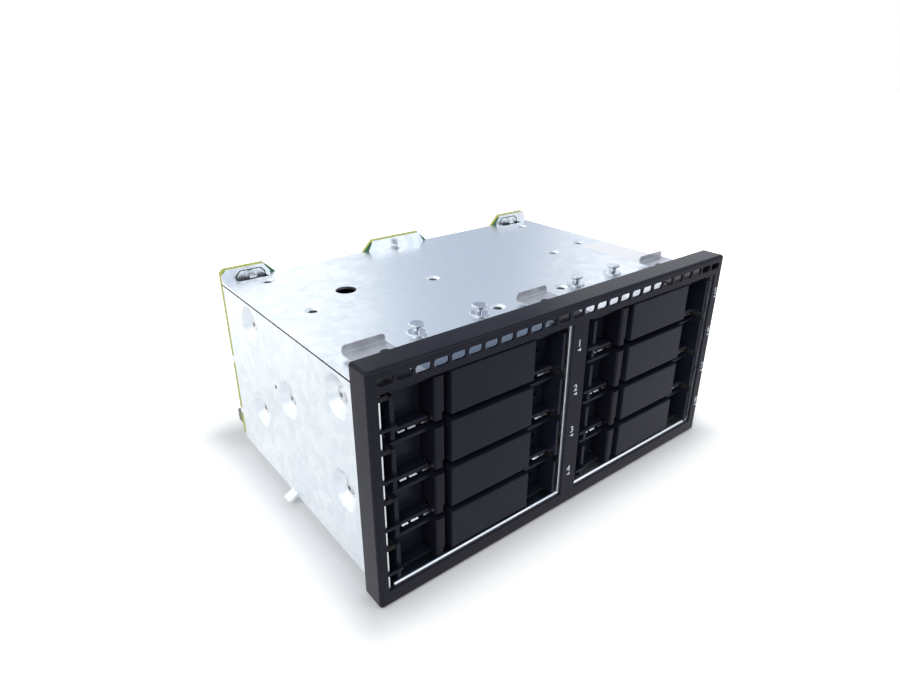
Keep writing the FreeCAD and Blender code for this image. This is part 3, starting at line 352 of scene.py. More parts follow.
# ------------------------------------------------------------------ finishes
@dataclass(frozen=True)
class GalvanisedSheet:
    """Zinc-coated sheet: flat crystals of slightly different greys, with fine rolling marks.

    A strip of the cover's top just behind the bezel, on the left, gets painted shade: a darker colour where
    the bezel shades it.

    Attributes:
        strip: the painted shade's right end in X and its rear end in Y.
        strip_fade: how far ahead of those ends it begins to fade.
        crystal_mm: the size of the large crystals.
        small_ratio: the small crystals' size, with the large ones' as 1.
        small_share: how much of the grey comes from the small crystals.
        cloud_mm: the size of the soft clouds over the crystals.
        cloud_share: how much of the grey comes from the clouds.
        wobble_mm: the grain and the reach of what makes the crystals crooked.
        wobble_share: how much of the wobble is used.
        tone_levels: the greys that give the dark and the light colour.
        upward_levels: how far up a face looks where the painted shade begins and is full.
        roughness: the least and the most.
        crystal_relief: the crystals' depth in millimetres and strength.
        rolling_mm: the rolling marks' width.
        rolling_stretch: how the marks are drawn out along Y.
        rolling_relief: the marks' depth in millimetres and strength.
    """

    name: str = "galvanised_sheet"
    light: Colour = (0.78, 0.81, 0.84)
    dark: Colour = (0.67, 0.71, 0.755)
    # The painted shade colour for the band of the cover behind the bezel, and for the shielding springs
    # beside their crests.
    painted_shade: Colour = (0.18, 0.22, 0.28)
    strip: Pair = (3.0 * MM, -54.0 * MM)
    strip_fade: Pair = (4.0 * MM, 2.0 * MM)
    crystal_mm: float = 4.2
    small_ratio: float = 0.37
    small_share: float = 0.35
    cloud_mm: float = 26.0
    cloud_share: float = 0.4
    wobble_mm: Pair = (5.0, 6.0)
    wobble_share: float = 0.18
    tone_levels: Pair = (0.2, 0.8)
    upward_levels: Pair = (0.6, 0.9)
    roughness: Pair = (0.26, 0.42)
    crystal_relief: Pair = (0.01, 0.12)
    rolling_mm: float = 0.5
    rolling_stretch: tuple[float, float, float] = (1.0, 0.04, 1.0)
    rolling_relief: Pair = (0.006, 0.3)

    def build(self) -> bpy.types.Material:
        """Makes the material."""
        graph = MaterialGraph(self.name)
        bent = graph.mix(self.wobble_share, graph.coordinates, graph.wobbled(*self.wobble_mm))
        crystals = graph.cells(self.crystal_mm, bent)
        small = graph.cells(self.crystal_mm * self.small_ratio, bent)
        grey = graph.mix(self.small_share, crystals, small)
        tone = graph.mix(self.cloud_share, grey, graph.noise(self.cloud_mm))
        sheet = graph.mix(graph.rise(tone, *self.tone_levels), self.dark, self.light)
        # Painted shade: upward faces behind the bezel, left of the middle, take the darker colour.
        right, rear = self.strip
        fade_x, fade_y = self.strip_fade
        strip = graph.product(graph.rise(graph.looking("Z"), *self.upward_levels),
                              graph.fall(graph.place("X"), right - fade_x, right),
                              graph.fall(graph.place("Y"), rear - fade_y, rear))
        graph.set("Base Color", graph.mix(strip, sheet, self.painted_shade))
        graph.set("Metallic", 1.0)
        smooth, rough = self.roughness
        graph.set("Roughness", graph.spread(tone, rough, smooth))
        rolling = graph.noise(self.rolling_mm, detail=2.0, vector=graph.stretched(self.rolling_stretch))
        under = graph.relief(crystals, *self.crystal_relief)
        graph.set("Normal", graph.relief(rolling, *self.rolling_relief, under))
        return graph.material


@dataclass(frozen=True)
class PlatedSteel:
    """Small bright metal pieces: screws, studs, clips, contacts and solder.

    Attributes:
        colour: the metal's colour.
        shade: its colour in the duller patches.
        grain_mm: the size that the patches and the finer grain follow.
        roughness: the least and the most.
        patch_ratio: a patch's size, with the grain as 1.
        patch_levels: the noise levels where the patches begin and are full.
        rough_levels: the noise levels that give the least and the most roughness.
        fine_ratio: the fine relief's size, with the grain as 1.
        relief: the fine relief's depth in millimetres and strength.
    """

    name: str
    colour: Colour
    shade: Colour
    grain_mm: float
    roughness: Pair
    patch_ratio: float = 3.0
    patch_levels: Pair = (0.35, 0.7)
    rough_levels: Pair = (0.3, 0.7)
    fine_ratio: float = 0.25
    relief: Pair = (0.01, 0.25)

    def build(self) -> bpy.types.Material:
        """Makes the material."""
        graph = MaterialGraph(self.name)
        patches = graph.noise(self.grain_mm * self.patch_ratio)
        graph.set("Base Color", graph.mix(graph.rise(patches, *self.patch_levels), self.colour, self.shade))
        graph.set("Metallic", 1.0)
        graph.set("Roughness", graph.spread(patches, *self.roughness, *self.rough_levels))
        fine = graph.noise(self.grain_mm * self.fine_ratio, detail=2.0)
        graph.set("Normal", graph.relief(fine, *self.relief))
        return graph.material


@dataclass(frozen=True)
class SpringStrip:
    """Shielding springs, with a painted highlight on the crests and painted shade beside them.

    Attributes:
        bright: the painted highlight's colour on the crests.
        worn_highlight: the painted highlight's colour where the crests are rubbed.
        painted_shade: the painted shade's colour beside the crests.
        crest_start: how far up a face looks where a crest begins and where it is full.
        crest_end: how far up a face looks where a crest fades and where it ends.
        worn_mm: the size of a rubbed patch.
        worn_levels: the noise levels where a crest is most rubbed and where it is clean.
        least_clean: how much of the bright colour is left where it is most rubbed.
        roughness: beside the crests, and on them.
    """

    name: str = "shield_spring"
    bright: Colour = (0.92, 0.93, 0.95)
    worn_highlight: Colour = (0.70, 0.71, 0.74)
    painted_shade: Colour = (0.05, 0.05, 0.06)
    crest_start: Pair = (0.50, 0.62)
    crest_end: Pair = (0.76, 0.86)
    worn_mm: float = 1.5
    worn_levels: Pair = (0.3, 0.6)
    least_clean: float = 0.75
    roughness: Pair = (0.6, 0.2)

    def build(self) -> bpy.types.Material:
        """Makes the material."""
        graph = MaterialGraph(self.name)
        # Painted highlight on faces that look partly up, along the crests, and painted shade on all other
        # faces.
        crest = graph.product(graph.rise(graph.looking("Z"), *self.crest_start),
                              graph.fall(graph.looking("Z"), *self.crest_end))
        clean = graph.spread(graph.noise(self.worn_mm), self.least_clean, 1.0, *self.worn_levels)
        bright = graph.mix(clean, self.worn_highlight, self.bright)
        graph.set("Base Color", graph.mix(crest, self.painted_shade, bright))
        graph.set("Metallic", 1.0)
        graph.set("Roughness", graph.spread(crest, *self.roughness))
        return graph.material


@dataclass(frozen=True)
class MouldedPlastic:
    """Injection-moulded plastic with a fine spark-eroded grain and a few rubbed patches.

    Attributes:
        colour: the plastic's colour.
        rubbed: its colour in the rubbed patches.
        roughness: the least and the most.
        index: the index of refraction.
        grain_mm: the size of the eroded grain.
        grain_depth_mm: the grain's depth.
        grain_strength: how much of the grain shows.
        patch_mm: the size of a rubbed patch.
        patch_levels: the noise levels where the patches begin and are full.
        rough_levels: the noise levels that give the least and the most roughness.
    """

    name: str
    colour: Colour
    rubbed: Colour
    roughness: Pair
    index: float = 1.17
    grain_mm: float = 0.22
    grain_depth_mm: float = 0.012
    grain_strength: float = 0.5
    patch_mm: float = 14.0
    patch_levels: Pair = (0.45, 0.75)
    rough_levels: Pair = (0.3, 0.7)

    def build(self) -> bpy.types.Material:
        """Makes the material."""
        graph = MaterialGraph(self.name)
        patches = graph.noise(self.patch_mm, detail=4.0, rough=0.6)
        graph.set("Base Color", graph.mix(graph.rise(patches, *self.patch_levels), self.colour, self.rubbed))
        graph.set("Roughness", graph.spread(patches, *self.roughness, *self.rough_levels))
        graph.set("IOR", self.index)
        grain = graph.noise(self.grain_mm, detail=2.0)
        graph.set("Normal", graph.relief(grain, self.grain_depth_mm, self.grain_strength))
        return graph.material


@dataclass(frozen=True)
class CircuitBoard:
    """Solder mask over copper on the faces, and bare woven laminate at the edges and beside them.

    Attributes:
        mask: the solder mask's colour.
        track: its colour over a copper track.
        edge: the bare laminate's colour.
        edge_shade: the laminate's colour between its threads.
        margin: how wide the laminate is bare on the faces, on the left and along the top.
        mask_start: where in the margin the mask begins to show, with the margin as 1.
        track_mm: the tracks' size, and track_stretch how they are drawn out.
        track_levels: the greys where a track begins and is full.
        track_relief: the tracks' depth in millimetres and strength.
        weave_mm: the threads' size, and weave_stretch how they are drawn out.
        flat_levels: how squarely a face looks along Y where it stops being an edge.
        roughness: at the edges, and on the faces.
    """

    name: str = "circuit_board"
    mask: Colour = (0.020, 0.105, 0.035)
    track: Colour = (0.024, 0.122, 0.041)
    edge: Colour = (0.50, 0.51, 0.11)
    edge_shade: Colour = (0.40, 0.42, 0.08)
    margin: float = 1.1 * MM
    mask_start: float = 0.8
    track_mm: float = 2.4
    track_stretch: tuple[float, float, float] = (0.35, 1.0, 1.6)
    track_levels: Pair = (0.45, 0.55)
    track_relief: Pair = (0.02, 0.3)
    weave_mm: float = 0.25
    weave_stretch: tuple[float, float, float] = (1.0, 6.0, 1.0)
    flat_levels: Pair = (0.4, 0.6)
    roughness: Pair = (0.6, 0.3)

    def build(self) -> bpy.types.Material:
        """Makes the material."""
        graph = MaterialGraph(self.name)
        low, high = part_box("backplane_board")
        inset = self.margin * self.mask_start
        masked = graph.product(graph.rise(graph.place("X"), low.x + inset, low.x + self.margin),
                               graph.fall(graph.place("Z"), high.z - self.margin, high.z - inset))
        tracks = graph.cells(self.track_mm, graph.stretched(self.track_stretch))
        face = graph.mix(graph.rise(tracks, *self.track_levels), self.mask, self.track)
        weave = graph.noise(self.weave_mm, detail=2.0, vector=graph.stretched(self.weave_stretch))
        rim = graph.mix(weave, self.edge, self.edge_shade)
        flat = graph.rise(graph.facing("Y"), *self.flat_levels)
        graph.set("Base Color", graph.mix(flat, rim, graph.mix(masked, rim, face)))
        graph.set("Roughness", graph.spread(flat, *self.roughness))
        graph.set("Normal", graph.relief(tracks, *self.track_relief))
        return graph.material


@dataclass(frozen=True)
class MattePaint:
    """Thin matt layers: printed ink and label paper.

    Attributes:
        colour: the layer's colour.
        shade: its colour in the darker fibres.
        grain_mm: the size of a fibre.
        roughness: how matt it is.
        fibre_levels: the noise levels where the darker fibres begin and are full.
        relief: the fibres' depth in millimetres and strength.
    """

    name: str
    colour: Colour
    shade: Colour
    grain_mm: float
    roughness: float
    fibre_levels: Pair = (0.35, 0.75)
    relief: Pair = (0.01, 0.3)

    def build(self) -> bpy.types.Material:
        """Makes the material."""
        graph = MaterialGraph(self.name)
        fibres = graph.noise(self.grain_mm)
        graph.set("Base Color", graph.mix(graph.rise(fibres, *self.fibre_levels), self.colour, self.shade))
        graph.set("Roughness", self.roughness)
        graph.set("Normal", graph.relief(fibres, *self.relief))
        return graph.material


class Finish(Enum):
    """The finishes of the cage's pieces."""

    SHEET = GalvanisedSheet()
    STUD = PlatedSteel("stud_steel", (0.60, 0.63, 0.68), (0.42, 0.45, 0.50), 1.2, (0.05, 0.10))
    SCREW = PlatedSteel("screw_steel", (0.66, 0.67, 0.68), (0.42, 0.43, 0.45), 1.2, (0.10, 0.20))
    CLIP = PlatedSteel("clip_steel", (0.50, 0.51, 0.54), (0.38, 0.39, 0.42), 2.0, (0.30, 0.42))
    SPRING = SpringStrip()
    BEZEL = MouldedPlastic("bezel_plastic", (0.012, 0.012, 0.020), (0.015, 0.015, 0.023), (0.14, 0.20),
                           grain_depth_mm=0.006)
    BLANK = MouldedPlastic("blank_plastic", (0.010, 0.011, 0.020), (0.012, 0.013, 0.023), (0.24, 0.34),
                           index=1.19)
    # The lever plastic is the blank plastic made darker: painted shade for the lever's side face in the gap
    # beside the panel.
    LEVER = MouldedPlastic("lever_plastic", (0.008, 0.0085, 0.0145), (0.010, 0.0105, 0.0165), (0.24, 0.34),
                           index=1.19)
    GUIDE = MouldedPlastic("guide_plastic", (0.014, 0.014, 0.015), (0.020, 0.020, 0.021), (0.45, 0.58))
    SOCKET = MouldedPlastic("socket_plastic", (0.016, 0.016, 0.017), (0.024, 0.024, 0.025), (0.42, 0.55))
    SIGNAL = MouldedPlastic("signal_socket", (0.21, 0.21, 0.15), (0.26, 0.26, 0.19), (0.45, 0.55))
    BOARD = CircuitBoard()
    INK = MattePaint("white_ink", (0.60, 0.64, 0.72), (0.46, 0.50, 0.58), 0.15, 0.5)
    PAPER = MattePaint("label_paper", (0.95, 0.95, 0.96), (0.90, 0.90, 0.91), 0.5, 0.35)
    GOLD = PlatedSteel("gold_contact", (0.95, 0.72, 0.30), (0.80, 0.56, 0.20), 0.8, (0.18, 0.28))
    SOLDER = PlatedSteel("solder", (0.72, 0.72, 0.74), (0.55, 0.55, 0.57), 0.6, (0.20, 0.35))

    def material(self) -> bpy.types.Material:
        """The finish's material, made on first use."""
        if self not in MADE:
            MADE[self] = self.value.build()
        return MADE[self]


MADE: dict[Finish, bpy.types.Material] = {}


def dress(node: str, finish: Finish) -> None:
    """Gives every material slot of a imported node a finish.

    Args:
        node: the node's name.
        finish: the finish that it gets.
    """
    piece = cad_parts[node]
    material = finish.material()
    if not piece.material_slots:
        piece.data.materials.append(material)
    for place in piece.material_slots:
        place.material = material
    log.info("dressed %s with %s", node, finish.value.name)


# ------------------------------------------------------------------ pieces
def add_mesh(name: str, mesh: bpy.types.Mesh, finish: Finish,
             body: str = CAGE) -> bpy.types.Object:
    """Puts a finished mesh into the scene, riding on a body.

    Args:
        name: the piece's name.
        mesh: its mesh, in the row frame.
        finish: its finish.
        body: the body that it moves with.

    Returns:
        The new object.
    """
    mesh.name = name
    piece = bpy.data.objects.new(name, mesh)
    bpy.context.scene.collection.objects.link(piece)
    mesh.materials.clear()
    mesh.materials.append(finish.material())
    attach(piece, body)
    log.info("made %s: %d faces", name, len(mesh.polygons))
    return piece


def plain_mesh(holder: bpy.types.Object) -> bpy.types.Mesh:
    """Keeps an object's finished shape as a plain mesh, and removes the object.

    Args:
        holder: an object that isn't in the scene yet.

    Returns:
        The mesh.
    """
    bpy.context.scene.collection.objects.link(holder)
    evaluated = holder.evaluated_get(bpy.context.evaluated_depsgraph_get())
    mesh = bpy.data.meshes.new_from_object(evaluated)
    bpy.data.objects.remove(holder)
    return mesh


@dataclass
class GridPattern:
    """Copies of one small turned shape at the points of a grid, repeated at every bay.

    Attributes:
        across: how many copies stand beside each other in a bay.
        up: how many stand above each other.
        spacing: the distances between them, across and up.
        base_radius: a copy's radius at the end it stands on.
        tip_radius: its radius at the other end.
        length: its length.
        sides: how many sides it has.
        kept: the share of the copies that is kept.
        seed: the number that chooses them.
    """

    name: str
    finish: Finish
    across: int
    up: int
    spacing: Pair
    base_radius: float
    tip_radius: float
    length: float
    sides: int = 8
    kept: float = 1.0
    seed: int = 7

    def tree(self) -> bpy.types.NodeTree:
        """Builds the Geometry Nodes tree.

        Returns:
            A tree that makes the pattern in the XZ plane, with its tips towards +Y.
        """
        tree = bpy.data.node_groups.new(f"{self.name}_tree", "GeometryNodeTree")
        tree.interface.new_socket("Geometry", in_out="OUTPUT", socket_type="NodeSocketGeometry")
        for label, kind in (("Across", "Int"), ("Up", "Int"), ("Width", "Float"), ("Height", "Float"),
                            ("Base Radius", "Float"), ("Tip Radius", "Float"), ("Length", "Float"),
                            ("Kept", "Float"), ("Seed", "Int"), ("Column Pitch", "Float"),
                            ("Row Pitch", "Float"), ("Origin", "Vector")):
            tree.interface.new_socket(label, in_out="INPUT", socket_type=f"NodeSocket{kind}")
        add, link = tree.nodes.new, tree.links.new
        inputs = add("NodeGroupInput").outputs
        output = add("NodeGroupOutput")

        shape = add("GeometryNodeMeshCone")
        shape.inputs["Vertices"].default_value = self.sides
        link(inputs["Base Radius"], shape.inputs["Radius Bottom"])
        link(inputs["Tip Radius"], shape.inputs["Radius Top"])
        link(inputs["Length"], shape.inputs["Depth"])

        grid = add("GeometryNodeMeshGrid")
        for source, target in (("Across", "Vertices X"), ("Up", "Vertices Y"), ("Width", "Size X"),
                               ("Height", "Size Y")):
            link(inputs[source], grid.inputs[target])
        chance = add("FunctionNodeRandomValue")
        chance.data_type = "BOOLEAN"
        link(inputs["Kept"], chance.inputs["Probability"])
        link(inputs["Seed"], chance.inputs["Seed"])
        scatter = add("GeometryNodeInstanceOnPoints")
        link(grid.outputs["Mesh"], scatter.inputs["Points"])
        link(shape.outputs["Mesh"], scatter.inputs["Instance"])
        link(next(s for s in chance.outputs if s.type == "BOOLEAN"), scatter.inputs["Selection"])
        flat = add("GeometryNodeRealizeInstances")
        link(scatter.outputs["Instances"], flat.inputs["Geometry"])

        bays = add("GeometryNodeMeshGrid")
        bays.inputs["Vertices X"].default_value = COLUMNS
        bays.inputs["Vertices Y"].default_value = ROWS
        link(inputs["Column Pitch"], bays.inputs["Size X"])
        link(inputs["Row Pitch"], bays.inputs["Size Y"])
        repeat = add("GeometryNodeInstanceOnPoints")
        link(bays.outputs["Mesh"], repeat.inputs["Points"])
        link(flat.outputs["Geometry"], repeat.inputs["Instance"])

        stand = add("GeometryNodeTransform")
        stand.inputs["Rotation"].default_value = (-math.pi / 2, 0.0, 0.0)
        link(repeat.outputs["Instances"], stand.inputs["Geometry"])
        link(inputs["Origin"], stand.inputs["Translation"])
        realize = add("GeometryNodeRealizeInstances")
        link(stand.outputs["Geometry"], realize.inputs["Geometry"])
        paint = add("GeometryNodeSetMaterial")
        paint.inputs["Material"].default_value = self.finish.material()
        link(realize.outputs["Geometry"], paint.inputs["Geometry"])
        link(paint.outputs["Geometry"], output.inputs[0])
        return tree

    def build(self, origin: Vector, column_pitch: float, row_pitch: float) -> bpy.types.Mesh:
        """Runs the tree and keeps its result as a plain mesh.

        Args:
            origin: the pattern's centre, in metres, in the plane that the copies stand on.
            column_pitch: the distance between the columns.
            row_pitch: the distance from the top row to the bottom row.

        Returns:
            The mesh, in the row frame.
        """
        tree = self.tree()
        holder = bpy.data.objects.new(f"{self.name}_holder", bpy.data.meshes.new(f"{self.name}_start"))
        modifier = holder.modifiers.new("pattern", "NODES")
        modifier.node_group = tree
        values = {"Across": self.across, "Up": self.up, "Width": self.spacing[0] * (self.across - 1),
                  "Height": self.spacing[1] * (self.up - 1), "Base Radius": self.base_radius,
                  "Tip Radius": self.tip_radius, "Length": self.length, "Kept": self.kept, "Seed": self.seed,
                  "Column Pitch": column_pitch, "Row Pitch": row_pitch, "Origin": tuple(origin)}
        for item in tree.interface.items_tree:
            if item.in_out == "INPUT":
                modifier[item.identifier] = values[item.name]
        return plain_mesh(holder)


@dataclass
class Steelwork:
    """The tray, the cover, the divider, their fasteners and the bare label on the cover."""

    label_size: Pair = (15.0 * MM, 31.0 * MM)
    label_centre: Pair = (76.5 * MM, -19.5 * MM)
    label_thickness: float = 0.08 * MM
    label_corner: float = 1.0 * MM
    corner_steps: int = 5

    def dress(self) -> None:
        """Gives the steel pieces their finishes."""
        for node in ("cage_tray", "top_cover", "centre_divider"):
            dress(node, Finish.SHEET)
        dress("top_studs", Finish.STUD)
        for side in ("left", "right"):
            dress(f"{side}_guide_screws", Finish.SCREW)
            dress(f"{side}_clip", Finish.CLIP)
        dress("middle_clip", Finish.CLIP)

    def add_label(self) -> None:
        """Lays a bare paper label with rounded corners on the cover."""
        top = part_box("middle_clip")[0].z
        outline = rounded_outline(*self.label_size, self.label_corner, self.corner_steps)
        mesh = slab(outline, self.label_thickness)
        mesh.transform(Matrix.Translation((*self.label_centre, top)))
        add_mesh("bare_label", mesh, Finish.PAPER)


def rounded_outline(width: float, height: float, radius: float, steps: int) -> list[Pair]:
    """The points of a rectangle with rounded corners, centred on the origin.

    Args:
        width: its size along the first axis.
        height: its size along the second axis.
        radius: the corners' radius.
        steps: how many points each corner has beyond its first.

    Returns:
        The points, anticlockwise.
    """
    points = []
    for corner, (side, end) in enumerate(((1, 1), (-1, 1), (-1, -1), (1, -1))):
        for step in range(steps + 1):
            angle = (corner + step / steps) * math.pi / 2
            points.append((side * (width / 2 - radius) + radius * math.cos(angle),
                           end * (height / 2 - radius) + radius * math.sin(angle)))
    return points


def slab(outline: list[Pair], thickness: float) -> bpy.types.Mesh:
    """A flat closed piece over an outline, standing on Z = 0.

    Args:
        outline: its points, anticlockwise.
        thickness: its height.

    Returns:
        The mesh.
    """
    count = len(outline)
    vertices = [(x, y, 0.0) for x, y in outline] + [(x, y, thickness) for x, y in outline]
    faces = [tuple(reversed(range(count))), tuple(range(count, count * 2))]
    faces += [(step, (step + 1) % count, (step + 1) % count + count, step + count) for step in range(count)]
    mesh = bpy.data.meshes.new("slab")
    mesh.from_pydata(vertices, [], faces)
    return mesh


@dataclass
class Bezel:
    """The bezel and the printed bay numbers, each over a small pointer.

    Attributes:
        digit_height: a number's height.
        font_ratio: the font's size, with its digits' height as 1.
        curve_steps: how finely a digit's curves are drawn.
        stroke: how much fatter than the font's a digit's strokes are, on each side.
        ink: the layer's thickness.
        digit_rise: how high a number stands over the middle of its bay.
        pointer_drop: how far below its number a pointer's middle is.
        pointer_size: a pointer's length and height.
        right_inset: how far the right column's numbers are from the bezel's right side.
    """

    digit_height: float = 2.7 * MM
    font_ratio: float = 1.4
    curve_steps: int = 3
    stroke: float = 0.06 * MM
    ink: float = 0.02 * MM
    digit_rise: float = 1.2 * MM
    pointer_drop: float = 2.5 * MM
    pointer_size: Pair = (1.9 * MM, 1.3 * MM)
    right_inset: float = 2.2 * MM

    def dress(self) -> None:
        """Gives the bezel its finish."""
        dress("front_bezel", Finish.BEZEL)

    def add_marks(self) -> None:
        """Prints the numbers on the middle and right stiles."""
        low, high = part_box("front_bezel")
        stiles = ((0.0, 1), (high.x - self.right_inset, 1 + ROWS))
        for across, first in stiles:
            for row in range(ROWS):
                lower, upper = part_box(f"drive_blank_{first + row}")
                height = (lower.z + upper.z) / 2 + self.digit_rise
                self.add_mark(str(first + row), Vector((across, low.y, height)))

    def add_mark(self, digit: str, place: Vector) -> None:
        """Prints one number and its pointer.

        Args:
            digit: the number.
            place: the number's centre on the bezel's face.
        """
        letter = bpy.data.curves.new(f"digit_{digit}_curve", "FONT")
        letter.body = digit
        letter.size = self.digit_height * self.font_ratio
        letter.align_x = "CENTER"
        letter.align_y = "CENTER"
        letter.extrude = self.ink / 2
        letter.offset = self.stroke
        letter.resolution_u = self.curve_steps
        mesh = plain_mesh(bpy.data.objects.new(f"digit_{digit}_holder", letter))
        upright = Matrix.Rotation(math.pi / 2, 4, "X")
        mesh.transform(Matrix.Translation(place) @ upright)
        add_mesh(f"bay_number_{digit}", mesh, Finish.INK)
        length, height = self.pointer_size
        corners = [(-length / 2, 0.0), (length / 2, -height / 2), (length / 2, height / 2)]
        pointer = slab(corners, self.ink)
        spot = place - Vector((0.0, 0.0, self.pointer_drop))
        pointer.transform(Matrix.Translation(spot) @ upright)
        add_mesh(f"bay_pointer_{digit}", pointer, Finish.INK)


@dataclass
class Bays:
    """The guides, their shielding springs, the blanks and the levers."""

    guides: tuple[str, ...] = ("left_outer", "left_inner", "right_inner", "right_outer")

    def dress(self) -> None:
        """Gives every piece in the bays its finish."""
        for guide in self.guides:
            dress(f"{guide}_guide", Finish.GUIDE)
            dress(f"{guide}_springs", Finish.SPRING)
        for number in range(1, COLUMNS * ROWS + 1):
            dress(f"drive_blank_{number}", Finish.BLANK)
            dress(f"blank_lever_{number}", Finish.LEVER)


@dataclass
class Backplane:
    """The board, its sockets and screws, the sockets' contacts and the joints behind them.

    Attributes:
        contacts: how many contacts each drive connector has.
        contact_pitch: the distance between them.
        contact_radii: a contact's radii at its base and its tip.
        contact_length: its length.
        contact_sides: how many sides it has.
        contact_inset: how far behind the connector's front it begins.
        contact_rise: how far it is above the connector's middle.
        joints: how many solder joints each drive connector has across and up.
        joint_pitch: the distances between them, across and up.
        joint_radii: a joint's radii at the board and at its tip.
        joint_length: how far it stands out.
    """

    contacts: int = 22
    contact_pitch: float = 1.0 * MM
    contact_radii: Pair = (0.225 * MM, 0.1575 * MM)
    contact_length: float = 4.6 * MM
    contact_sides: int = 6
    contact_inset: float = 2.4 * MM
    contact_rise: float = 0.75 * MM
    joints: tuple[int, int] = (28, 2)
    joint_pitch: Pair = (1.27 * MM, 2.54 * MM)
    joint_radii: Pair = (0.5 * MM, 0.2 * MM)
    joint_length: float = 0.5 * MM

    def dress(self) -> None:
        """Gives the board and its sockets their finishes."""
        dress("backplane_board", Finish.BOARD)
        dress("backplane_screws", Finish.SCREW)
        for number in range(1, COLUMNS * ROWS + 1):
            dress(f"drive_connector_{number}", Finish.SOCKET)
        for node in ("data_connector_1", "data_connector_2", "power_connector"):
            dress(node, Finish.SOCKET)
        dress("signal_connector", Finish.SIGNAL)

    def middle(self, y: float) -> tuple[Vector, float, float]:
        """The middle of all the drive connectors, and how far apart they are.

        Args:
            y: the depth to give the middle.

        Returns:
            The middle, the columns' pitch, and the distance from the top row to the bottom row.
        """
        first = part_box("drive_connector_1")
        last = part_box(f"drive_connector_{COLUMNS * ROWS}")
        one = (first[0] + first[1]) / 2
        eight = (last[0] + last[1]) / 2
        centre = (one + eight) / 2
        return Vector((centre.x, y, centre.z)), eight.x - one.x, one.z - eight.z

    def add_contacts(self) -> None:
        """Adds the gold contacts on the connectors' tongues and the joints behind the board."""
        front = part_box("drive_connector_1")[0].y
        pins = GridPattern("drive_contacts", Finish.GOLD, self.contacts, 1, (self.contact_pitch, 0.0),
                           *self.contact_radii, self.contact_length, self.contact_sides)
        origin, columns, rows = self.middle(front + self.contact_inset)
        origin.z += self.contact_rise
        add_mesh("drive_contacts", pins.build(origin, columns, rows), Finish.GOLD)
        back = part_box("backplane_board")[1].y
        joints = GridPattern("solder_joints", Finish.SOLDER, *self.joints, self.joint_pitch,
                             *self.joint_radii, self.joint_length)
        origin, columns, rows = self.middle(back)
        add_mesh("solder_joints", joints.build(origin, columns, rows), Finish.SOLDER)


# ------------------------------------------------------------------ studio
CAMERA_PLACE = Vector((-157.93 * MM, -195.41 * MM, 163.76 * MM))

# What glossy rays see around the cage: bearings in degrees from +Y towards +X, and colours.
MIRRORED_SCREENS = (
    (-110.0, (0.52, 0.55, 0.60)),
    (-85.0, (0.93, 0.96, 0.98)),
    (28.0, (0.93, 0.96, 0.98)),
    (31.0, (0.41, 0.47, 0.56)),
    (46.0, (0.34, 0.39, 0.47)),
    (49.5, (0.82, 0.85, 0.90)),
    (63.0, (0.82, 0.85, 0.90)),
    (74.0, (0.50, 0.53, 0.58)),
)
# What lights the cage from around it: the upward part of a direction, and colours.
SKY = (
    (0.05, (0.95, 0.96, 0.97)),
    (0.75, (0.42, 0.45, 0.50)),
)
# The floor's glow: for glossy rays by metres along Y, and for the camera by metres from the cage.
FLOOR_MIRRORED = ((-0.300, 0.26), (-0.065, 0.36), (-0.045, 0.24), (0.040, 0.40), (0.230, 0.70))
FLOOR_SEEN = ((0.0, 0.0), (0.004, 0.10), (0.012, 0.34), (0.020, 0.48), (0.060, 1.0))
# The lamps' names, places and powers in watts.
LAMPS = (
    ("key", (-0.9, -0.5, 1.1), 9.0),
    ("fill", (0.7, -1.1, 0.8), 4.0),
)


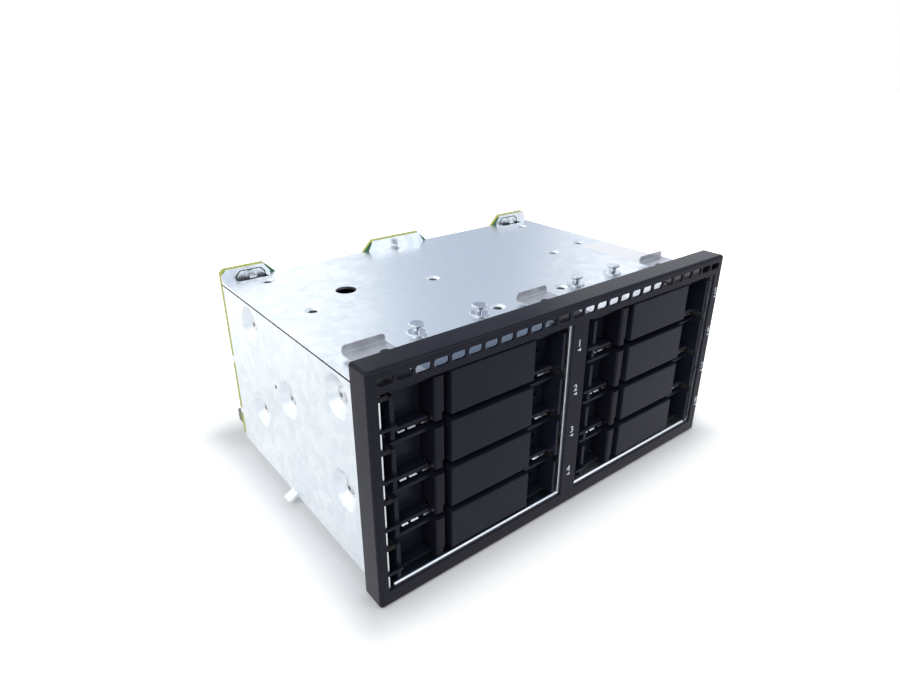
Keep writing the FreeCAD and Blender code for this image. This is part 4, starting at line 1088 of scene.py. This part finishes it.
@dataclass
class Studio:
    """The floor, the lamps, the surroundings and the camera.

    Attributes:
        camera_place: where the camera stands.
        azimuth: its turn about the vertical, in degrees.
        elevation: how far it looks down, in degrees.
        roll: its roll, in degrees.
        lens: its focal length in millimetres.
        sensor: its sensor's width in millimetres.
        clip: the nearest and the farthest that it sees.
        floor_size: the length of the floor's side.
        floor_drop: how far the floor is below the cage.
        floor_colour: the floor's colour.
        floor_roughness: how matt the floor is.
        floor_glow: the colour of the floor's glow.
        mirror_strength: how bright the surroundings are for glossy rays, with 1 as plain.
        lamp_size: the length of a lamp's side.
        aim: the point that the lamps look at.
    """

    camera_place: Vector
    azimuth: float = -37.65
    elevation: float = 24.53
    roll: float = -0.21
    lens: float = 25.0
    sensor: float = 36.0
    clip: Pair = (0.01, 50.0)
    floor_size: float = 6.0
    floor_drop: float = 0.2 * MM
    floor_colour: Colour = (0.8, 0.8, 0.8)
    floor_roughness: float = 0.7
    floor_glow: Colour = (1.0, 0.995, 0.96)
    mirror_strength: float = 1.5
    lamp_size: float = 0.9
    aim: tuple[float, float, float] = (0.0, 0.0, 0.04)

    def add_camera(self) -> None:
        """Stands the camera at its place and turns it."""
        data = bpy.data.cameras.new("camera")
        data.lens = self.lens
        data.sensor_width = self.sensor
        data.clip_start, data.clip_end = self.clip
        camera = bpy.data.objects.new("camera", data)
        bpy.context.scene.collection.objects.link(camera)
        turn = Matrix.Rotation(math.radians(self.azimuth), 4, "Z")
        turn = turn @ Matrix.Rotation(math.radians(90.0 - self.elevation), 4, "X")
        turn = turn @ Matrix.Rotation(math.radians(self.roll), 4, "Z")
        camera.matrix_world = Matrix.Translation(self.camera_place) @ turn
        bpy.context.scene.camera = camera

    def add_floor(self) -> None:
        """Lays a pale floor that keeps the shadow and turns white away from the cage."""
        half = self.floor_size / 2
        corners = [(-half, -half, 0.0), (half, -half, 0.0), (half, half, 0.0), (-half, half, 0.0)]
        mesh = bpy.data.meshes.new("floor")
        mesh.from_pydata(corners, [], [(0, 1, 2, 3)])
        floor = bpy.data.objects.new("floor", mesh)
        bpy.context.scene.collection.objects.link(floor)
        floor.location.z = -self.floor_drop
        graph = MaterialGraph("pale_floor")
        graph.set("Base Color", (*self.floor_colour, 1.0))
        graph.set("Roughness", self.floor_roughness)
        path = graph.add("ShaderNodeLightPath").outputs
        seen = self.levels(graph, self.clearance(graph), FLOOR_SEEN)
        mirrored = self.levels(graph, graph.place("Y"), FLOOR_MIRRORED)
        glow = graph.maths("ADD", graph.product(path["Is Camera Ray"], seen),
                           graph.product(path["Is Glossy Ray"], mirrored))
        graph.set("Emission Color", (*self.floor_glow, 1.0))
        graph.set("Emission Strength", glow)
        mesh.materials.append(graph.material)

    @staticmethod
    def clearance(graph: MaterialGraph) -> bpy.types.NodeSocket:
        """How far a point of the floor is from the cage's footprint, in metres.

        Args:
            graph: the floor's node tree.

        Returns:
            The distance, and 0 under the cage.
        """
        half_width, half_depth, _ = CAD_BOX[1]
        outside = graph.coordinates
        for operation, value in (("ABSOLUTE", None), ("SUBTRACT", (half_width, half_depth, 1.0)),
                                 ("MAXIMUM", (0.0, 0.0, 0.0))):
            step = graph.add("ShaderNodeVectorMath")
            step.operation = operation
            graph.link(outside, step.inputs[0])
            if value is not None:
                step.inputs[1].default_value = value
            outside = step.outputs["Vector"]
        length = graph.add("ShaderNodeVectorMath")
        length.operation = "LENGTH"
        graph.link(outside, length.inputs[0])
        return length.outputs["Value"]

    @staticmethod
    def levels(graph: Graph, length: bpy.types.NodeSocket, stops: tuple[Pair, ...]) -> bpy.types.NodeSocket:
        """Grey levels along a length.

        Args:
            graph: the node tree to add to.
            length: a length in metres.
            stops: pairs of a length and a level, in order.

        Returns:
            The level.
        """
        start, end = stops[0][0], stops[-1][0]
        return graph.ramp(graph.rise(length, start, end),
                          [((place - start) / (end - start), (level,) * 3) for place, level in stops])

    def add_world(self) -> None:
        """Surrounds the scene: white for the camera, screens for glossy rays, and a sky for the rest."""
        world = bpy.data.worlds.new("studio")
        bpy.context.scene.world = world
        world.use_nodes = True
        graph = Graph(world.node_tree)
        output = graph.add("ShaderNodeOutputWorld")
        background = graph.add("ShaderNodeBackground")
        graph.link(background.outputs["Background"], output.inputs["Surface"])
        direction = graph.add("ShaderNodeTexCoord").outputs["Generated"]
        sky = graph.ramp(graph.part(direction, "Z"), SKY)
        bearing = graph.maths("ARCTAN2", graph.part(direction, "X"), graph.part(direction, "Y"))
        around = graph.maths("MULTIPLY_ADD", bearing, 0.5 / math.pi, 0.5)
        screens = graph.ramp(around, [(degrees / 360.0 + 0.5, tint) for degrees, tint in MIRRORED_SCREENS])
        path = graph.add("ShaderNodeLightPath").outputs
        lit = graph.mix(path["Is Glossy Ray"], sky, screens)
        graph.link(graph.mix(path["Is Camera Ray"], lit, WHITE), background.inputs["Color"])
        strength = graph.maths("MULTIPLY_ADD", path["Is Glossy Ray"], self.mirror_strength - 1.0, 1.0)
        graph.link(strength, background.inputs["Strength"])

    def add_lamp(self, name: str, place: Vector, power: float) -> None:
        """Hangs one soft square lamp that looks at the cage.

        Args:
            name: the lamp's name.
            place: where it hangs.
            power: its strength in watts.
        """
        data = bpy.data.lights.new(name, "AREA")
        data.size = self.lamp_size
        data.energy = power
        lamp = bpy.data.objects.new(name, data)
        bpy.context.scene.collection.objects.link(lamp)
        lamp.rotation_mode = "QUATERNION"
        lamp.rotation_quaternion = (Vector(self.aim) - place).to_track_quat("-Z", "Y")
        lamp.location = place

    def build(self) -> None:
        """Makes the whole studio."""
        bpy.context.scene.view_settings.view_transform = "Standard"
        self.add_camera()
        self.add_floor()
        self.add_world()
        for name, place, power in LAMPS:
            self.add_lamp(name, Vector(place), power)


def main() -> None:
    """Builds the cage's classes in order, then the studio."""
    logging.basicConfig(level=logging.INFO, format="%(name)s: %(message)s")
    steelwork = Steelwork()
    steelwork.dress()
    steelwork.add_label()
    bezel = Bezel()
    bezel.dress()
    bezel.add_marks()
    Bays().dress()
    backplane = Backplane()
    backplane.dress()
    backplane.add_contacts()
    Studio(CAMERA_PLACE).build()


if __name__ == "__main__":
    main()
